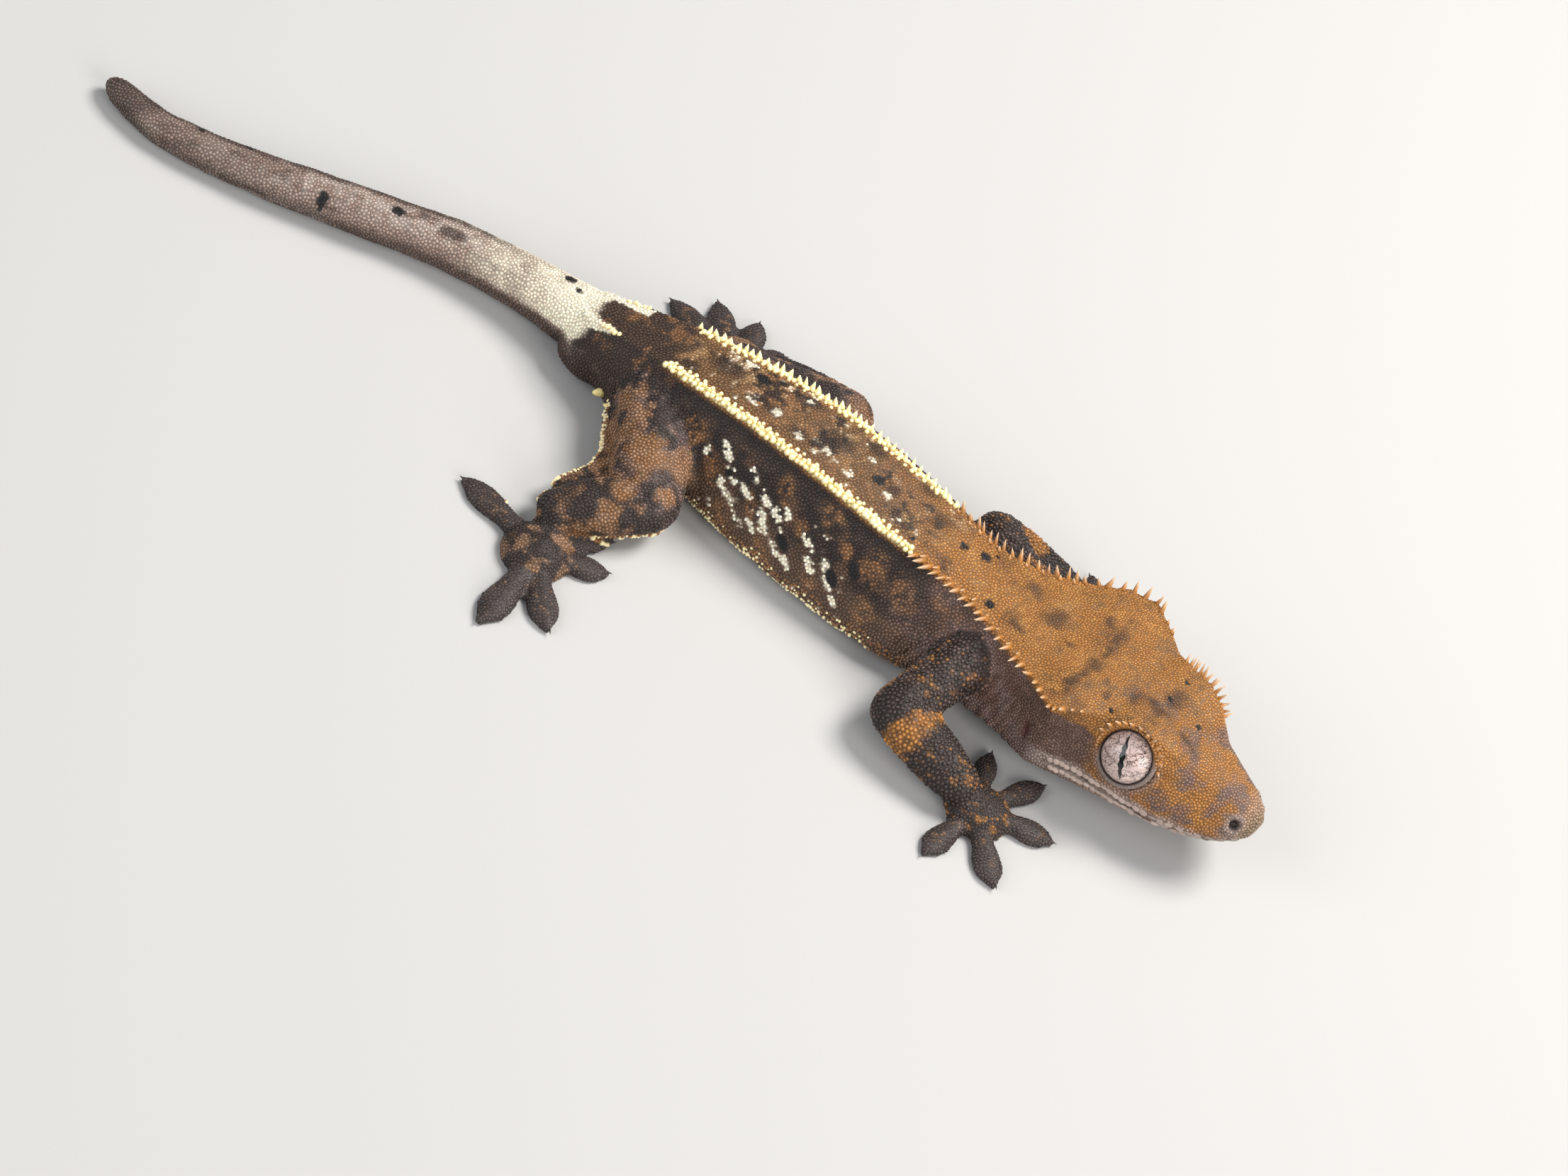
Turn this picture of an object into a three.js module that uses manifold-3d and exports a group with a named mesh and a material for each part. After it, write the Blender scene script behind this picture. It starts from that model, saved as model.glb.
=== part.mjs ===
// A life-size crested gecko that rests on a level floor, in millimetres.
// +X points to the head, +Y to the animal's left and +Z up.
// The origin is on the floor, under the middle of the trunk.
import * as THREE from "three";
import { mergeVertices } from "three/addons/utils/BufferGeometryUtils.js";
import Module from "manifold-3d";

const wasm = await Module();
wasm.setup();

// Driving sizes. Distances along the body are measured from the tip of the snout, back along the spine.
const GAP = 0.3; // between parts that touch
const EYE_AT = 17.6;
const SKULL_END = 35;
const NECK_END = 49;
const TRUNK_END = 113;
const TAIL_PART_ENDS = [140, 165];
const EYE_RADIUS = 4.15;
const EYE_OUT = 6.25; // eye centre, sideways from the skull's middle plane
const EYE_UP = 0.7; // eye centre, above the skull's centre line
const EYE_OPENING = 3.7; // radius of the round opening that the eye looks out of
const EYE_TILT = 32; // degrees that the eye looks up from level
const RING_STEPS = 2; // facets between two control points of a body section
const LIMB_SIDES = 11;

const HIDE = { brown: 0x3a2d28, tan: 0x9a6a35, grey: 0x6b5c52, dark: 0x332c2a, iris: 0xb9a5a0 };

// The spine from snout to tail tip.
// The head is raised and turned a little to the right, the tail lies down and swings to the right.
const spine = new THREE.CatmullRomCurve3(
  [
    [73.7, -4.0, 10.4],
    [64.5, -2.9, 10.3],
    [55, -1.4, 10.1],
    [44.7, -0.2, 9.7],
    [34, -0.5, 9.0],
    [24, -0.6, 8.3],
    [12, -0.1, 7.9],
    [0, 0, 7.9],
    [-24, 0, 7.0],
    [-38.6, 0.4, 5.0],
    [-47, 0.2, 4.2],
    [-58.8, -1.9, 3.5],
    [-70.3, -6.2, 3.2],
    [-81.6, -10.7, 2.85],
    [-93.2, -14.5, 2.45],
    [-101, -15.6, 2.1],
    [-109, -14.2, 1.8],
  ].map((p) => new THREE.Vector3(...p)),
);
spine.arcLengthDivisions = 600;
const SPINE_LENGTH = spine.getLength();

// A smooth size along the body, from [distance from the snout, size] pairs.
function sizeAlong(keys) {
  const slope = (i) => {
    const a = keys[Math.max(i - 1, 0)];
    const b = keys[Math.min(i + 1, keys.length - 1)];
    return (b[1] - a[1]) / (b[0] - a[0]);
  };
  return (at) => {
    const last = keys.length - 1;
    if (at <= keys[0][0]) return keys[0][1];
    if (at >= keys[last][0]) return keys[last][1];
    const i = keys.findIndex((k) => k[0] > at) - 1;
    const span = keys[i + 1][0] - keys[i][0];
    const t = (at - keys[i][0]) / span;
    const rise = keys[i + 1][1] - keys[i][1];
    const a = slope(i) * span - rise;
    const b = rise - slope(i + 1) * span;
    return keys[i][1] + t * rise + t * (1 - t) * (a * (1 - t) + b * t);
  };
}

// Heights are above and below the spine, widths are half widths.
const topUp = sizeAlong([
  [0, 0.9], [1, 1.8], [3, 2.6], [8, 3.6], [14, 4.8], [19, 5.4], [25, 5.7], [30, 5.7], [36, 5.3],
  [42, 5.3], [49, 5.9], [60, 7.1], [74, 8.0], [86, 7.8], [98, 6.4], [106, 5.1], [113, 4.1],
  [120, 3.7], [135, 3.35], [158, 2.8], [175, 2.2], [183, 1.8], [185.2, 1.2], [186, 0.5],
]);
const ridgeOut = sizeAlong([
  [0, 0.7], [1, 1.3], [3, 2.0], [8, 3.0], [11, 3.8], [13.5, 5.5], [17, 7.0], [20, 7.3], [22.5, 8.0],
  [26, 10.8], [29.5, 13.1], [32, 11.9], [35, 10.0], [41, 7.2], [47, 5.2], [54, 5.2], [62, 5.8],
  [74, 5.9], [86, 5.2], [98, 4.3], [106, 3.3], [113, 2.5], [120, 2.1], [135, 1.8], [158, 1.5],
  [175, 1.2], [183, 1.0], [185.2, 0.65], [186, 0.3],
]);
const ridgeUp = sizeAlong([
  [0, 0.6], [1, 1.3], [3, 2.0], [8, 2.9], [11, 3.9], [14, 5.7], [17, 6.7], [20, 6.3], [23, 5.3], [29.5, 5.0],
  [36, 4.6], [41, 4.5], [47, 5.0], [60, 6.5], [74, 7.5], [86, 7.2], [98, 5.9], [106, 4.5], [113, 3.5],
  [120, 3.1], [135, 2.85], [158, 2.4], [175, 1.85], [183, 1.5], [185.2, 1.0], [186, 0.4],
]);
const sideOut = sizeAlong([
  [0, 1.3], [1, 2.9], [3.6, 5.4], [8, 7.6], [12.6, 9.3], [18, 10.4], [23, 11.5], [28, 12.7], [31, 12.6],
  [34, 11.9], [38, 10.8], [46, 10.8], [53, 12.4], [62, 13.3], [72, 13.1], [82, 12.0], [92, 10.2],
  [103, 7.5], [113, 4.4], [120, 3.7], [135, 3.4], [158, 2.9], [175, 2.25], [183, 1.85],
  [185.2, 1.2], [186, 0.5],
]);
const sideUp = sizeAlong([
  [0, -0.8], [4, -2.0], [8, -2.7], [14, -3.4], [20, -3.9], [29, -4.7], [36, -4.9], [46, -4.7], [60, -4.6],
  [76, -4.5], [92, -3.4], [103, -1.9], [113, -0.4], [186, 0],
]);
const bellyOut = sizeAlong([
  [0, 0.7], [1, 1.6], [3.6, 3.4], [8, 5.2], [14, 7.0], [19, 8.1], [28, 10.4], [35, 9.9], [46, 9.0], [60, 9.8],
  [76, 9.6], [92, 7.3], [103, 5.2], [113, 2.6], [120, 2.2], [158, 1.7], [183, 1.0], [186, 0.3],
]);
const bellyDown = sizeAlong([
  [0, 1.2], [1, 2.4], [3, 3.7], [8, 5.0], [14, 6.3], [19, 7.1], [28, 8.0], [36, 7.7], [46, 7.8], [52, 8.2],
  [60, 8.2], [76, 8.1], [92, 7.7], [103, 6.8], [113, 4.6], [120, 3.9], [135, 3.45], [158, 2.95],
  [175, 2.3], [183, 1.85], [185.2, 1.25], [186, 0.5],
]);
// How far the face between ridge and side swells (above 0) or hollows (below 0), as a share of its width.
const flankSwell = sizeAlong([
  [0, 0.12], [5, 0.1], [14, 0.04], [24, -0.05], [31, -0.14], [40, 0.0], [60, 0.08], [92, 0.1],
  [113, 0.14], [186, 0.16],
]);

// The point, heading and side direction of the spine at a distance from the snout.
function frameAt(at) {
  const u = Math.min(Math.max(at / SPINE_LENGTH, 0), 1);
  const back = spine.getTangentAt(u);
  const left = new THREE.Vector3(back.y, -back.x, 0).normalize();
  const up = new THREE.Vector3().crossVectors(left, back).negate();
  if (up.z < 0) up.negate();
  return { point: spine.getPointAt(u), back, left, up };
}

// A point given in the skull's or body's own frame, at a distance from the snout.
function placeAt(at, out, height) {
  const f = frameAt(at);
  return f.point.clone().addScaledVector(f.left, out).addScaledVector(f.up, height);
}

// One closed body section as points, grown outwards by a margin.
// It lies on the floor where it would sink below.
function bodySection(at, grow = 0) {
  const f = frameAt(at);
  const ridge = [ridgeOut(at), ridgeUp(at)];
  const side = [sideOut(at), sideUp(at)];
  const belly = [bellyOut(at), -bellyDown(at) * 0.93];
  const span = [side[0] - ridge[0], side[1] - ridge[1]];
  const length = Math.hypot(...span);
  const swell = flankSwell(at) * length;
  const flank = [
    (ridge[0] + side[0]) / 2 - (span[1] / length) * swell,
    (ridge[1] + side[1]) / 2 + (span[0] / length) * swell,
  ];
  const under = [side[0] * 0.62 + belly[0] * 0.48, (side[1] + belly[1]) / 2 - 0.02 * side[0]];
  const half = [ridge, flank, side, under, belly];
  const controls = [[0, topUp(at)], ...half, [0, -bellyDown(at)], ...half.map(([y, z]) => [-y, z]).reverse()];
  const outline = new THREE.CatmullRomCurve3(
    controls.map(([y, z]) => {
      const r = Math.hypot(y, z) || 1;
      return new THREE.Vector3(y * (1 + grow / r), z * (1 + grow / r), 0);
    }),
    true,
  );
  const count = controls.length * RING_STEPS;
  return Array.from({ length: count }, (_, i) => {
    const p = outline.getPoint(i / count);
    const world = f.point.clone().addScaledVector(f.left, p.x).addScaledVector(f.up, p.y);
    if (!grow) world.z = Math.max(world.z, 0);
    return world;
  });
}

// A closed solid through rings of points, with flat ends.
function skinRings(rings) {
  const count = rings[0].length;
  const points = rings.flat();
  const middle = (ring) => ring.reduce((sum, p) => sum.add(p), new THREE.Vector3()).divideScalar(count);
  points.push(middle(rings[0]), middle(rings[rings.length - 1]));
  const first = points.length - 2;
  const last = points.length - 1;
  const faces = [];
  for (let i = 0; i < count; i++) {
    const j = (i + 1) % count;
    for (let k = 0; k < rings.length - 1; k++) {
      const a = k * count;
      const b = a + count;
      faces.push(a + i, a + j, b + i, a + j, b + j, b + i);
    }
    const end = (rings.length - 1) * count;
    faces.push(first, j, i, last, end + i, end + j);
  }
  const geometry = new THREE.BufferGeometry().setFromPoints(points);
  geometry.setIndex(faces);
  return geometry;
}

// A closed geometry as a solid for joining and cutting, turned to face out.
function solidOf(geometry) {
  const bare = geometry.clone();
  bare.deleteAttribute("normal");
  bare.deleteAttribute("uv");
  const merged = mergeVertices(bare, 1e-4);
  const build = (index) =>
    new wasm.Manifold(
      new wasm.Mesh({ numProp: 3, vertProperties: merged.attributes.position.array, triVerts: index }),
    );
  const index = new Uint32Array(merged.index.array);
  const solid = build(index);
  if (solid.volume() > 0) return solid;
  for (let i = 0; i < index.length; i += 3) [index[i + 1], index[i + 2]] = [index[i + 2], index[i + 1]];
  return build(index);
}

function geometryOf(solid) {
  const { vertProperties, triVerts, numProp, numVert } = solid.getMesh();
  const positions = new Float32Array(numVert * 3);
  for (let i = 0; i < numVert; i++) {
    positions.set(vertProperties.subarray(i * numProp, i * numProp + 3), i * 3);
  }
  const geometry = new THREE.BufferGeometry();
  geometry.setAttribute("position", new THREE.BufferAttribute(positions, 3));
  geometry.setIndex(new THREE.BufferAttribute(triVerts, 1));
  geometry.computeVertexNormals();
  return geometry;
}

// The largest piece of a cut solid: slivers on the far side of a cut are dropped.
function mainPiece(solid) {
  return solid.decompose().reduce((best, s) => (s.volume() > best.volume() ? s : best));
}

const gecko = new THREE.Group();
gecko.name = "crested_gecko";

function addPart(name, solid, color, roughness = 0.75) {
  const material = new THREE.MeshStandardMaterial({ color, roughness, metalness: 0 });
  const mesh = new THREE.Mesh(geometryOf(solid), material);
  mesh.name = name;
  gecko.add(mesh);
}

// A stretch of the body between two distances from the snout, in equal steps of about the given length.
function bodyStretch(from, to, step, grow = 0) {
  const steps = Math.max(2, Math.round((to - from) / step));
  const places = Array.from({ length: steps + 1 }, (_, i) => from + ((to - from) * i) / steps);
  if (to === SPINE_LENGTH) places.splice(-1, 1, to - 2.2, to - 0.9, to - 0.25, to);
  return solidOf(skinRings(places.map((at) => bodySection(at, grow))));
}

function ball(centre, radii, detail = 12) {
  const geometry = new THREE.SphereGeometry(1, detail + 4, detail);
  geometry.scale(...radii).translate(centre.x, centre.y, centre.z);
  return solidOf(geometry);
}

// Head. The first millimetres are stepped finely, so that the muzzle is round.
const SNOUT_STEPS = [0.05, 0.5, 1.4, 3.2, 6.5, 10.5, 14, 17, 20, 23, 26, 29, 31.8, SKULL_END - GAP / 2];
const wholeHead = solidOf(skinRings(SNOUT_STEPS.map((at) => bodySection(at))));

// The mouth line in the skull's side view, from the snout back to the corner of the mouth.
const MOUTH = [[-2, -1.5], [3.6, -3.0], [9, -3.4], [16, -3.7], [22, -4.0], [26.5, -4.7]];
function belowMouth(lift) {
  const line = new THREE.SplineCurve(MOUTH.map(([at, z]) => new THREE.Vector2(at, z + lift)));
  const under = [new THREE.Vector2(26.5 + lift, -12), new THREE.Vector2(-2, -12)];
  const outline = new THREE.Shape([...line.getPoints(15), ...under]);
  const slab = new THREE.ExtrudeGeometry(outline, { depth: 30, bevelEnabled: false });
  const f = frameAt(EYE_AT);
  const origin = f.point.clone().addScaledVector(f.back, -EYE_AT).addScaledVector(f.left, -15);
  slab.applyMatrix4(new THREE.Matrix4().makeBasis(f.back, f.up, f.left).setPosition(origin));
  return solidOf(slab);
}

const eyeCentres = [1, -1].map((side) => placeAt(EYE_AT, side * EYE_OUT, EYE_UP));
const nostrils = [1, -1].map((side) => ball(placeAt(2.3, side * 3.1, 0.4), [0.55, 0.5, 0.5], 6));
const sockets = eyeCentres.map((c) => ball(c, Array(3).fill(EYE_RADIUS + GAP), 8));
// The opening flares outwards along the eye's own line of sight.
const openings = [1, -1].map((side, i) => {
  const tilt = THREE.MathUtils.degToRad(EYE_TILT);
  const f = frameAt(EYE_AT);
  const level = f.left.clone().multiplyScalar(side);
  const look = level.multiplyScalar(Math.cos(tilt)).addScaledVector(f.up, Math.sin(tilt));
  const cone = new THREE.CylinderGeometry(EYE_OPENING + 2, EYE_OPENING, 5, 16);
  cone.translate(0, 2.5 + EYE_RADIUS * 0.45, 0);
  cone.applyQuaternion(new THREE.Quaternion().setFromUnitVectors(new THREE.Vector3(0, 1, 0), look));
  cone.translate(...eyeCentres[i].toArray());
  return solidOf(cone);
});
const hollows = [...nostrils, ...sockets, ...openings];
const carvedHead = hollows.reduce((head, cut) => head.subtract(cut), wholeHead);
addPart("head", mainPiece(carvedHead.subtract(belowMouth(GAP / 2))), HIDE.tan);
addPart("lower_jaw", mainPiece(carvedHead.intersect(belowMouth(-GAP / 2))), HIDE.grey);
eyeCentres.forEach((c, i) =>
  addPart(i ? "eye_right" : "eye_left", ball(c, [EYE_RADIUS, EYE_RADIUS, EYE_RADIUS], 9), HIDE.iris, 0.15),
);

addPart("neck", bodyStretch(SKULL_END + GAP / 2, NECK_END - GAP / 2, 3), HIDE.brown);

// Trunk, with the pair of swellings under the tail root that a male has.
const swelling = (side, grow) =>
  ball(placeAt(TRUNK_END - 4, side * 3.7, -2.1), [5.0 + grow, 3.1 + grow, 2.9 + grow], 10);
const trunkEnd = bodyStretch(TRUNK_END - GAP / 2, TRUNK_END + 12, 3, GAP);
const trunk = bodyStretch(NECK_END + GAP / 2, TRUNK_END - GAP / 2, 5)
  .add(swelling(1, 0))
  .add(swelling(-1, 0))
  .subtract(trunkEnd);
addPart("trunk", mainPiece(trunk), HIDE.brown);

const TAIL_NAMES = ["tail_base", "tail_middle", "tail_end"];
const tailEnds = [TRUNK_END, ...TAIL_PART_ENDS, SPINE_LENGTH];
TAIL_NAMES.forEach((name, i) => {
  const end = i === 2 ? SPINE_LENGTH : tailEnds[i + 1] - GAP / 2;
  let part = bodyStretch(tailEnds[i] + GAP / 2, end, 5.2);
  if (i === 0) part = part.subtract(swelling(1, GAP)).subtract(swelling(-1, GAP));
  addPart(name, mainPiece(part), HIDE.grey);
});

// A limb segment between two points: a round tube with domed ends. Widths lie level and heights stand up.
function limbTube(from, to, widths, heights, grow = 0) {
  const along = new THREE.Vector3().subVectors(to, from);
  const forward = along.clone().normalize();
  const level = new THREE.Vector3(-forward.y, forward.x, 0).normalize();
  const up = new THREE.Vector3().crossVectors(forward, level);
  const mix = (sizes, t) => {
    const k = Math.min(Math.floor(t * (sizes.length - 1)), sizes.length - 2);
    const local = t * (sizes.length - 1) - k;
    const smooth = local * local * (3 - 2 * local);
    return sizes[k] + (sizes[k + 1] - sizes[k]) * smooth;
  };
  const stations = [-0.97, -0.72, -0.3, 0, 0.33, 0.67, 1, 1.35, 1.75, 1.97];
  const rings = stations.map((s) => {
    const t = Math.min(Math.max(s, 0), 1);
    const past = s < 0 ? s : s > 1 ? s - 1 : 0;
    const shrink = Math.sqrt(1 - past * past);
    const w = mix(widths, t) * shrink + grow;
    const h = mix(heights, t) * shrink + grow;
    const reach = past * (Math.min(mix(widths, t), mix(heights, t)) + grow);
    const centre = from.clone().addScaledVector(along, t).addScaledVector(forward, reach);
    return Array.from({ length: LIMB_SIDES }, (_, i) => {
      const a = (i / LIMB_SIDES) * 2 * Math.PI;
      const p = centre.clone().addScaledVector(level, Math.cos(a) * w).addScaledVector(up, Math.sin(a) * h);
      if (!grow) p.z = Math.max(p.z, 0);
      return p;
    });
  });
  return solidOf(skinRings(rings));
}

// A toe that lies flat: a narrow shank, a broad pad and a narrow clawed tip, along a gently bent line.
const TOE_PROFILE = [
  [0, 0.82, 1.0], [0.24, 0.66, 0.95], [0.42, 0.73, 0.84], [0.56, 0.94, 0.76], [0.7, 1.0, 0.7],
  [0.82, 0.83, 0.62], [0.91, 0.42, 0.62], [1, 0.12, 0.36],
];
function toeSolid(from, to, { width, height, bend }) {
  const across = new THREE.Vector3(from.y - to.y, to.x - from.x, 0);
  const path = new THREE.QuadraticBezierCurve3(
    from,
    from.clone().add(to).multiplyScalar(0.5).addScaledVector(across, bend),
    to,
  );
  const rings = TOE_PROFILE.map(([t, w, h]) => {
    const centre = path.getPoint(t);
    const tangent = path.getTangent(t);
    const side = new THREE.Vector3(-tangent.y, tangent.x, 0).normalize();
    const halfWidth = (w * width) / 2;
    const tall = h * height;
    const arch = [[1, 0.32], [0.7, 0.82], [0, 1], [-0.7, 0.82], [-1, 0.32], [-0.8, 0], [0.8, 0]];
    return arch.map(([y, z]) => {
      const p = centre.clone().addScaledVector(side, y * halfWidth);
      p.z = z * tall;
      return p;
    });
  });
  return solidOf(skinRings(rings));
}

// The sole and back of a hand or foot: a low dome that the toes grow from.
function palmSolid(centre, palm, grow = 0) {
  const rings = [0, 0.4, 0.78, 1].map((t) => {
    const spread = Math.sqrt(1 - Math.pow(t, 2.2)) || 0.05;
    const sides = 14;
    return Array.from({ length: sides }, (_, i) => {
      const a = (i / sides) * 2 * Math.PI;
      const reach = [palm.long * spread + grow, palm.wide * spread + grow];
      const p = new THREE.Vector3(Math.cos(a) * reach[0], Math.sin(a) * reach[1], 0);
      p.applyAxisAngle(new THREE.Vector3(0, 0, 1), THREE.MathUtils.degToRad(palm.turn));
      p.add(new THREE.Vector3(centre.x, centre.y, 0));
      p.z = t * palm.tall + (t > 0 ? grow : -grow);
      return p;
    });
  });
  return solidOf(skinRings(rings));
}

const FRONT = {
  upperWidths: [4.3, 3.6, 3.7], upperHeights: [4.6, 3.6, 3.5],
  lowerWidths: [3.9, 4.1, 3.2], lowerHeights: [3.5, 3.2, 2.4],
  palm: { long: 4.6, wide: 4.3, tall: 3.3 },
  toe: { width: 4.1, height: 2.2 },
  parts: ["upper_arm", "forearm", "hand"],
};
const HIND = {
  upperWidths: [5.6, 5.6, 4.5], upperHeights: [5.2, 4.5, 3.9],
  lowerWidths: [4.4, 4.3, 3.0], lowerHeights: [3.8, 3.4, 2.5],
  palm: { long: 5.0, wide: 4.8, tall: 3.5 },
  toe: { width: 4.4, height: 2.3 },
  parts: ["thigh", "shin", "foot"],
};
const point = (x, y, z = 0) => new THREE.Vector3(x, y, z);

// The fold of skin that spans the hollow of the knee.
// It is a flat fan between an arc and one point inside the thigh.
function webSolid({ arc, inner, thick }) {
  const knobs = [inner, ...arc].map((p) => ball(p, Array(3).fill(thick), 6));
  const panels = arc.slice(1).map((_, i) => wasm.Manifold.hull([knobs[0], knobs[i + 1], knobs[i + 2]]));
  return panels.reduce((whole, panel) => whole.add(panel));
}

// Joint places, and toes from the first to the fifth.
// Each toe has its tip, its breadth against the widest toe, and its bend to the side.
const LIMBS = {
  front_right: {
    kind: FRONT, root: point(31, -7, 7.6), bend: point(28.2, -21.0, 5.0), end: point(40.2, -22.9, 3.1),
    palm: point(44, -22.6), turn: 10,
    toes: [
      [40.4, -13.2, 0.75, 0.06], [48.5, -12.2, 0.85, 0.05], [54.0, -19.0, 0.95, 0.04],
      [51.9, -30.7, 1, -0.06], [42.2, -33.4, 0.9, -0.04],
    ],
  },
  front_left: {
    kind: FRONT, root: point(30, 6.5, 7.6), bend: point(22.6, 12.6, 6.4), end: point(36.5, 14.2, 3.1),
    palm: point(40.4, 14.2), turn: -5,
    toes: [
      [46.4, 7.0, 0.75, -0.05], [51.0, 11.2, 0.85, -0.04], [51.6, 17.4, 0.95, 0.03],
      [45.0, 23.4, 1, 0.04], [34.8, 22.6, 0.9, -0.05],
    ],
  },
  hind_right: {
    kind: HIND, root: point(-24, -3.5, 7.0), bend: point(-14.6, -18.9, 5.0), end: point(-23.0, -27.4, 3.2),
    palm: point(-21.2, -33), turn: 80,
    toes: [
      [-15.2, -23.6, 0.66, 0.06], [-12.5, -28.6, 0.86, -0.04], [-12.8, -42.0, 1, -0.04],
      [-20.0, -47.6, 1.02, 0.05], [-35.2, -30.6, 0.95, -0.05],
    ],
    web: {
      arc: [
        point(-26.8, -9.0, 3.4), point(-23.4, -14.6, 3.4), point(-22.9, -18.2, 3.2),
        point(-24.8, -23.4, 2.8),
      ],
      inner: point(-18, -17, 3.4),
      thick: 1.25,
    },
  },
  hind_left: {
    kind: HIND, root: point(-22, 3.5, 7.0), bend: point(-3.6, 13.4, 6.0), end: point(-16.5, 14.2, 3.2),
    palm: point(-20.6, 14.0), turn: 0,
    toes: [
      [-16.8, 21.0, 0.68, 0.04], [-22.6, 23.0, 0.84, -0.03], [-29.0, 21.4, 0.92, 0.02],
      [-33.6, 16.6, 0.98, 0.03], [-32.6, 10.4, 0.9, 0.04],
    ],
  },
};

const bodyClearance = bodyStretch(SKULL_END - 16, TRUNK_END + 20, 3.5, GAP);
for (const [limb, l] of Object.entries(LIMBS)) {
  const { kind } = l;
  const palm = { ...kind.palm, turn: l.turn };
  const upper = (grow) => limbTube(l.root, l.bend, kind.upperWidths, kind.upperHeights, grow);
  const lower = (grow) => limbTube(l.bend, l.end, kind.lowerWidths, kind.lowerHeights, grow);
  const lowerWithWeb = l.web ? lower(0).add(webSolid(l.web)) : lower(0);
  const [upperName, lowerName, palmName] = kind.parts.map((part) => `${limb}_${part}`);
  const palmGrown = palmSolid(l.palm, palm, GAP);
  addPart(upperName, mainPiece(upper(0).subtract(bodyClearance)), HIDE.brown);
  addPart(lowerName, mainPiece(lowerWithWeb.subtract(upper(GAP)).subtract(bodyClearance)), HIDE.brown);
  const lowerGrown = lower(GAP);
  const palmCut = palmSolid(l.palm, palm).subtract(lowerGrown).subtract(upper(GAP));
  const webGrown = l.web && webSolid({ ...l.web, thick: l.web.thick + GAP });
  addPart(palmName, mainPiece(webGrown ? palmCut.subtract(webGrown) : palmCut), HIDE.dark);
  let taken = palmGrown.add(lowerGrown);
  if (webGrown) taken = taken.add(webGrown);
  l.toes.forEach(([x, y, scale, bend], i) => {
    const tip = point(x, y);
    const from = l.palm.clone().lerp(tip, 0.12).setZ(0);
    const size = { width: kind.toe.width * scale, height: kind.toe.height * (0.6 + 0.4 * scale), bend };
    addPart(`${palmName}_toe_${i + 1}`, mainPiece(toeSolid(from, tip, size).subtract(taken)), HIDE.dark);
    const grown = { ...size, width: size.width + 2 * GAP, height: size.height + GAP };
    taken = taken.add(toeSolid(from, tip, grown));
  });
}

export default gecko;
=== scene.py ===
import math
import random

import bpy
import numpy as np
from mathutils import Matrix, Vector
from mathutils.bvhtree import BVHTree
from mathutils.kdtree import KDTree


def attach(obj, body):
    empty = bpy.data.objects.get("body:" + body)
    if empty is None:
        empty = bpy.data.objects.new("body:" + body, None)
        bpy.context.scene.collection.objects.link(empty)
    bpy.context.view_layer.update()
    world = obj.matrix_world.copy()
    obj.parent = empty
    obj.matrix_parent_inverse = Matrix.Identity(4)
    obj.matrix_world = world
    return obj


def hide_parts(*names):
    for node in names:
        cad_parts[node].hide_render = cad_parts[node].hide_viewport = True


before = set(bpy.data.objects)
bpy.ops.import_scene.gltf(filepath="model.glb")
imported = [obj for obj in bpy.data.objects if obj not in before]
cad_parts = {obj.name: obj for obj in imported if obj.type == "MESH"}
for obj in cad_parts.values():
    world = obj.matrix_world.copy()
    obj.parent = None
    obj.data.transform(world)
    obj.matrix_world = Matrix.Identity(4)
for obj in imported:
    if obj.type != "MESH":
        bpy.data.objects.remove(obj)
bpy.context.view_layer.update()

print("frame loaded")
mm = 0.001
random.seed(11)
dice = np.random.default_rng(5)
bpy.context.scene.view_settings.view_transform = "Standard"


def hue(red, green, blue):
    return tuple(((c / 255 + 0.055) / 1.055) ** 2.4 if c > 10 else c / 255 / 12.92 for c in (red, green, blue))


# camera and light
cameraLook = {"azimuth": 12, "elevation": 49, "roll": 28.2, "distance": 580, "lens": 100,
              "aim": (0, -3.12, 0), "aimPixel": (1110, 745), "picture": (2212, 1659)}


def addCamera(look):
    a, e, r = (math.radians(look[k]) for k in ("azimuth", "elevation", "roll"))
    back = Vector((math.sin(a) * math.cos(e), -math.cos(a) * math.cos(e), math.sin(e)))
    level = Vector((math.cos(a), math.sin(a), 0))
    right = level * math.cos(r) + back.cross(level) * math.sin(r)
    top = back.cross(level) * math.cos(r) - level * math.sin(r)
    wide, tall = look["picture"]
    focal = look["lens"] / 36 * wide
    across = (look["aimPixel"][0] - wide / 2) / focal * look["distance"]
    upward = (tall / 2 - look["aimPixel"][1]) / focal * look["distance"]
    place = Vector(look["aim"]) + back * look["distance"] - right * across - top * upward
    bpy.ops.object.camera_add()
    camera = bpy.context.object
    camera.name = "camera"
    camera.matrix_world = Matrix.Translation(place * mm) @ Matrix((right, top, back)).transposed().to_4x4()
    camera.data.lens = look["lens"]
    camera.data.sensor_width = 36
    camera.data.clip_start = 0.01
    bpy.context.scene.camera = camera


addCamera(cameraLook)

lights = {
    "key": {"at": (0.26, 0.36, 0.66), "size": 0.34, "power": 8.2, "tint": (1.0, 0.975, 0.94)},
    "fill": {"at": (-0.55, -0.6, 0.50), "size": 0.7, "power": 4.4, "tint": (0.95, 0.97, 1.0)},
    "front": {"at": (0.75, -0.35, 0.45), "size": 0.5, "power": 5.0, "tint": (1.0, 0.98, 0.96)},
}
for name, light in lights.items():
    bpy.ops.object.light_add(type="AREA", location=light["at"])
    lamp = bpy.context.object
    lamp.name = name + "_light"
    lamp.data.size = light["size"]
    lamp.data.energy = light["power"]
    lamp.data.color = light["tint"]
    lamp.rotation_euler = (Vector((0, 0, 0)) - lamp.location).to_track_quat("-Z", "Y").to_euler()

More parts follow.
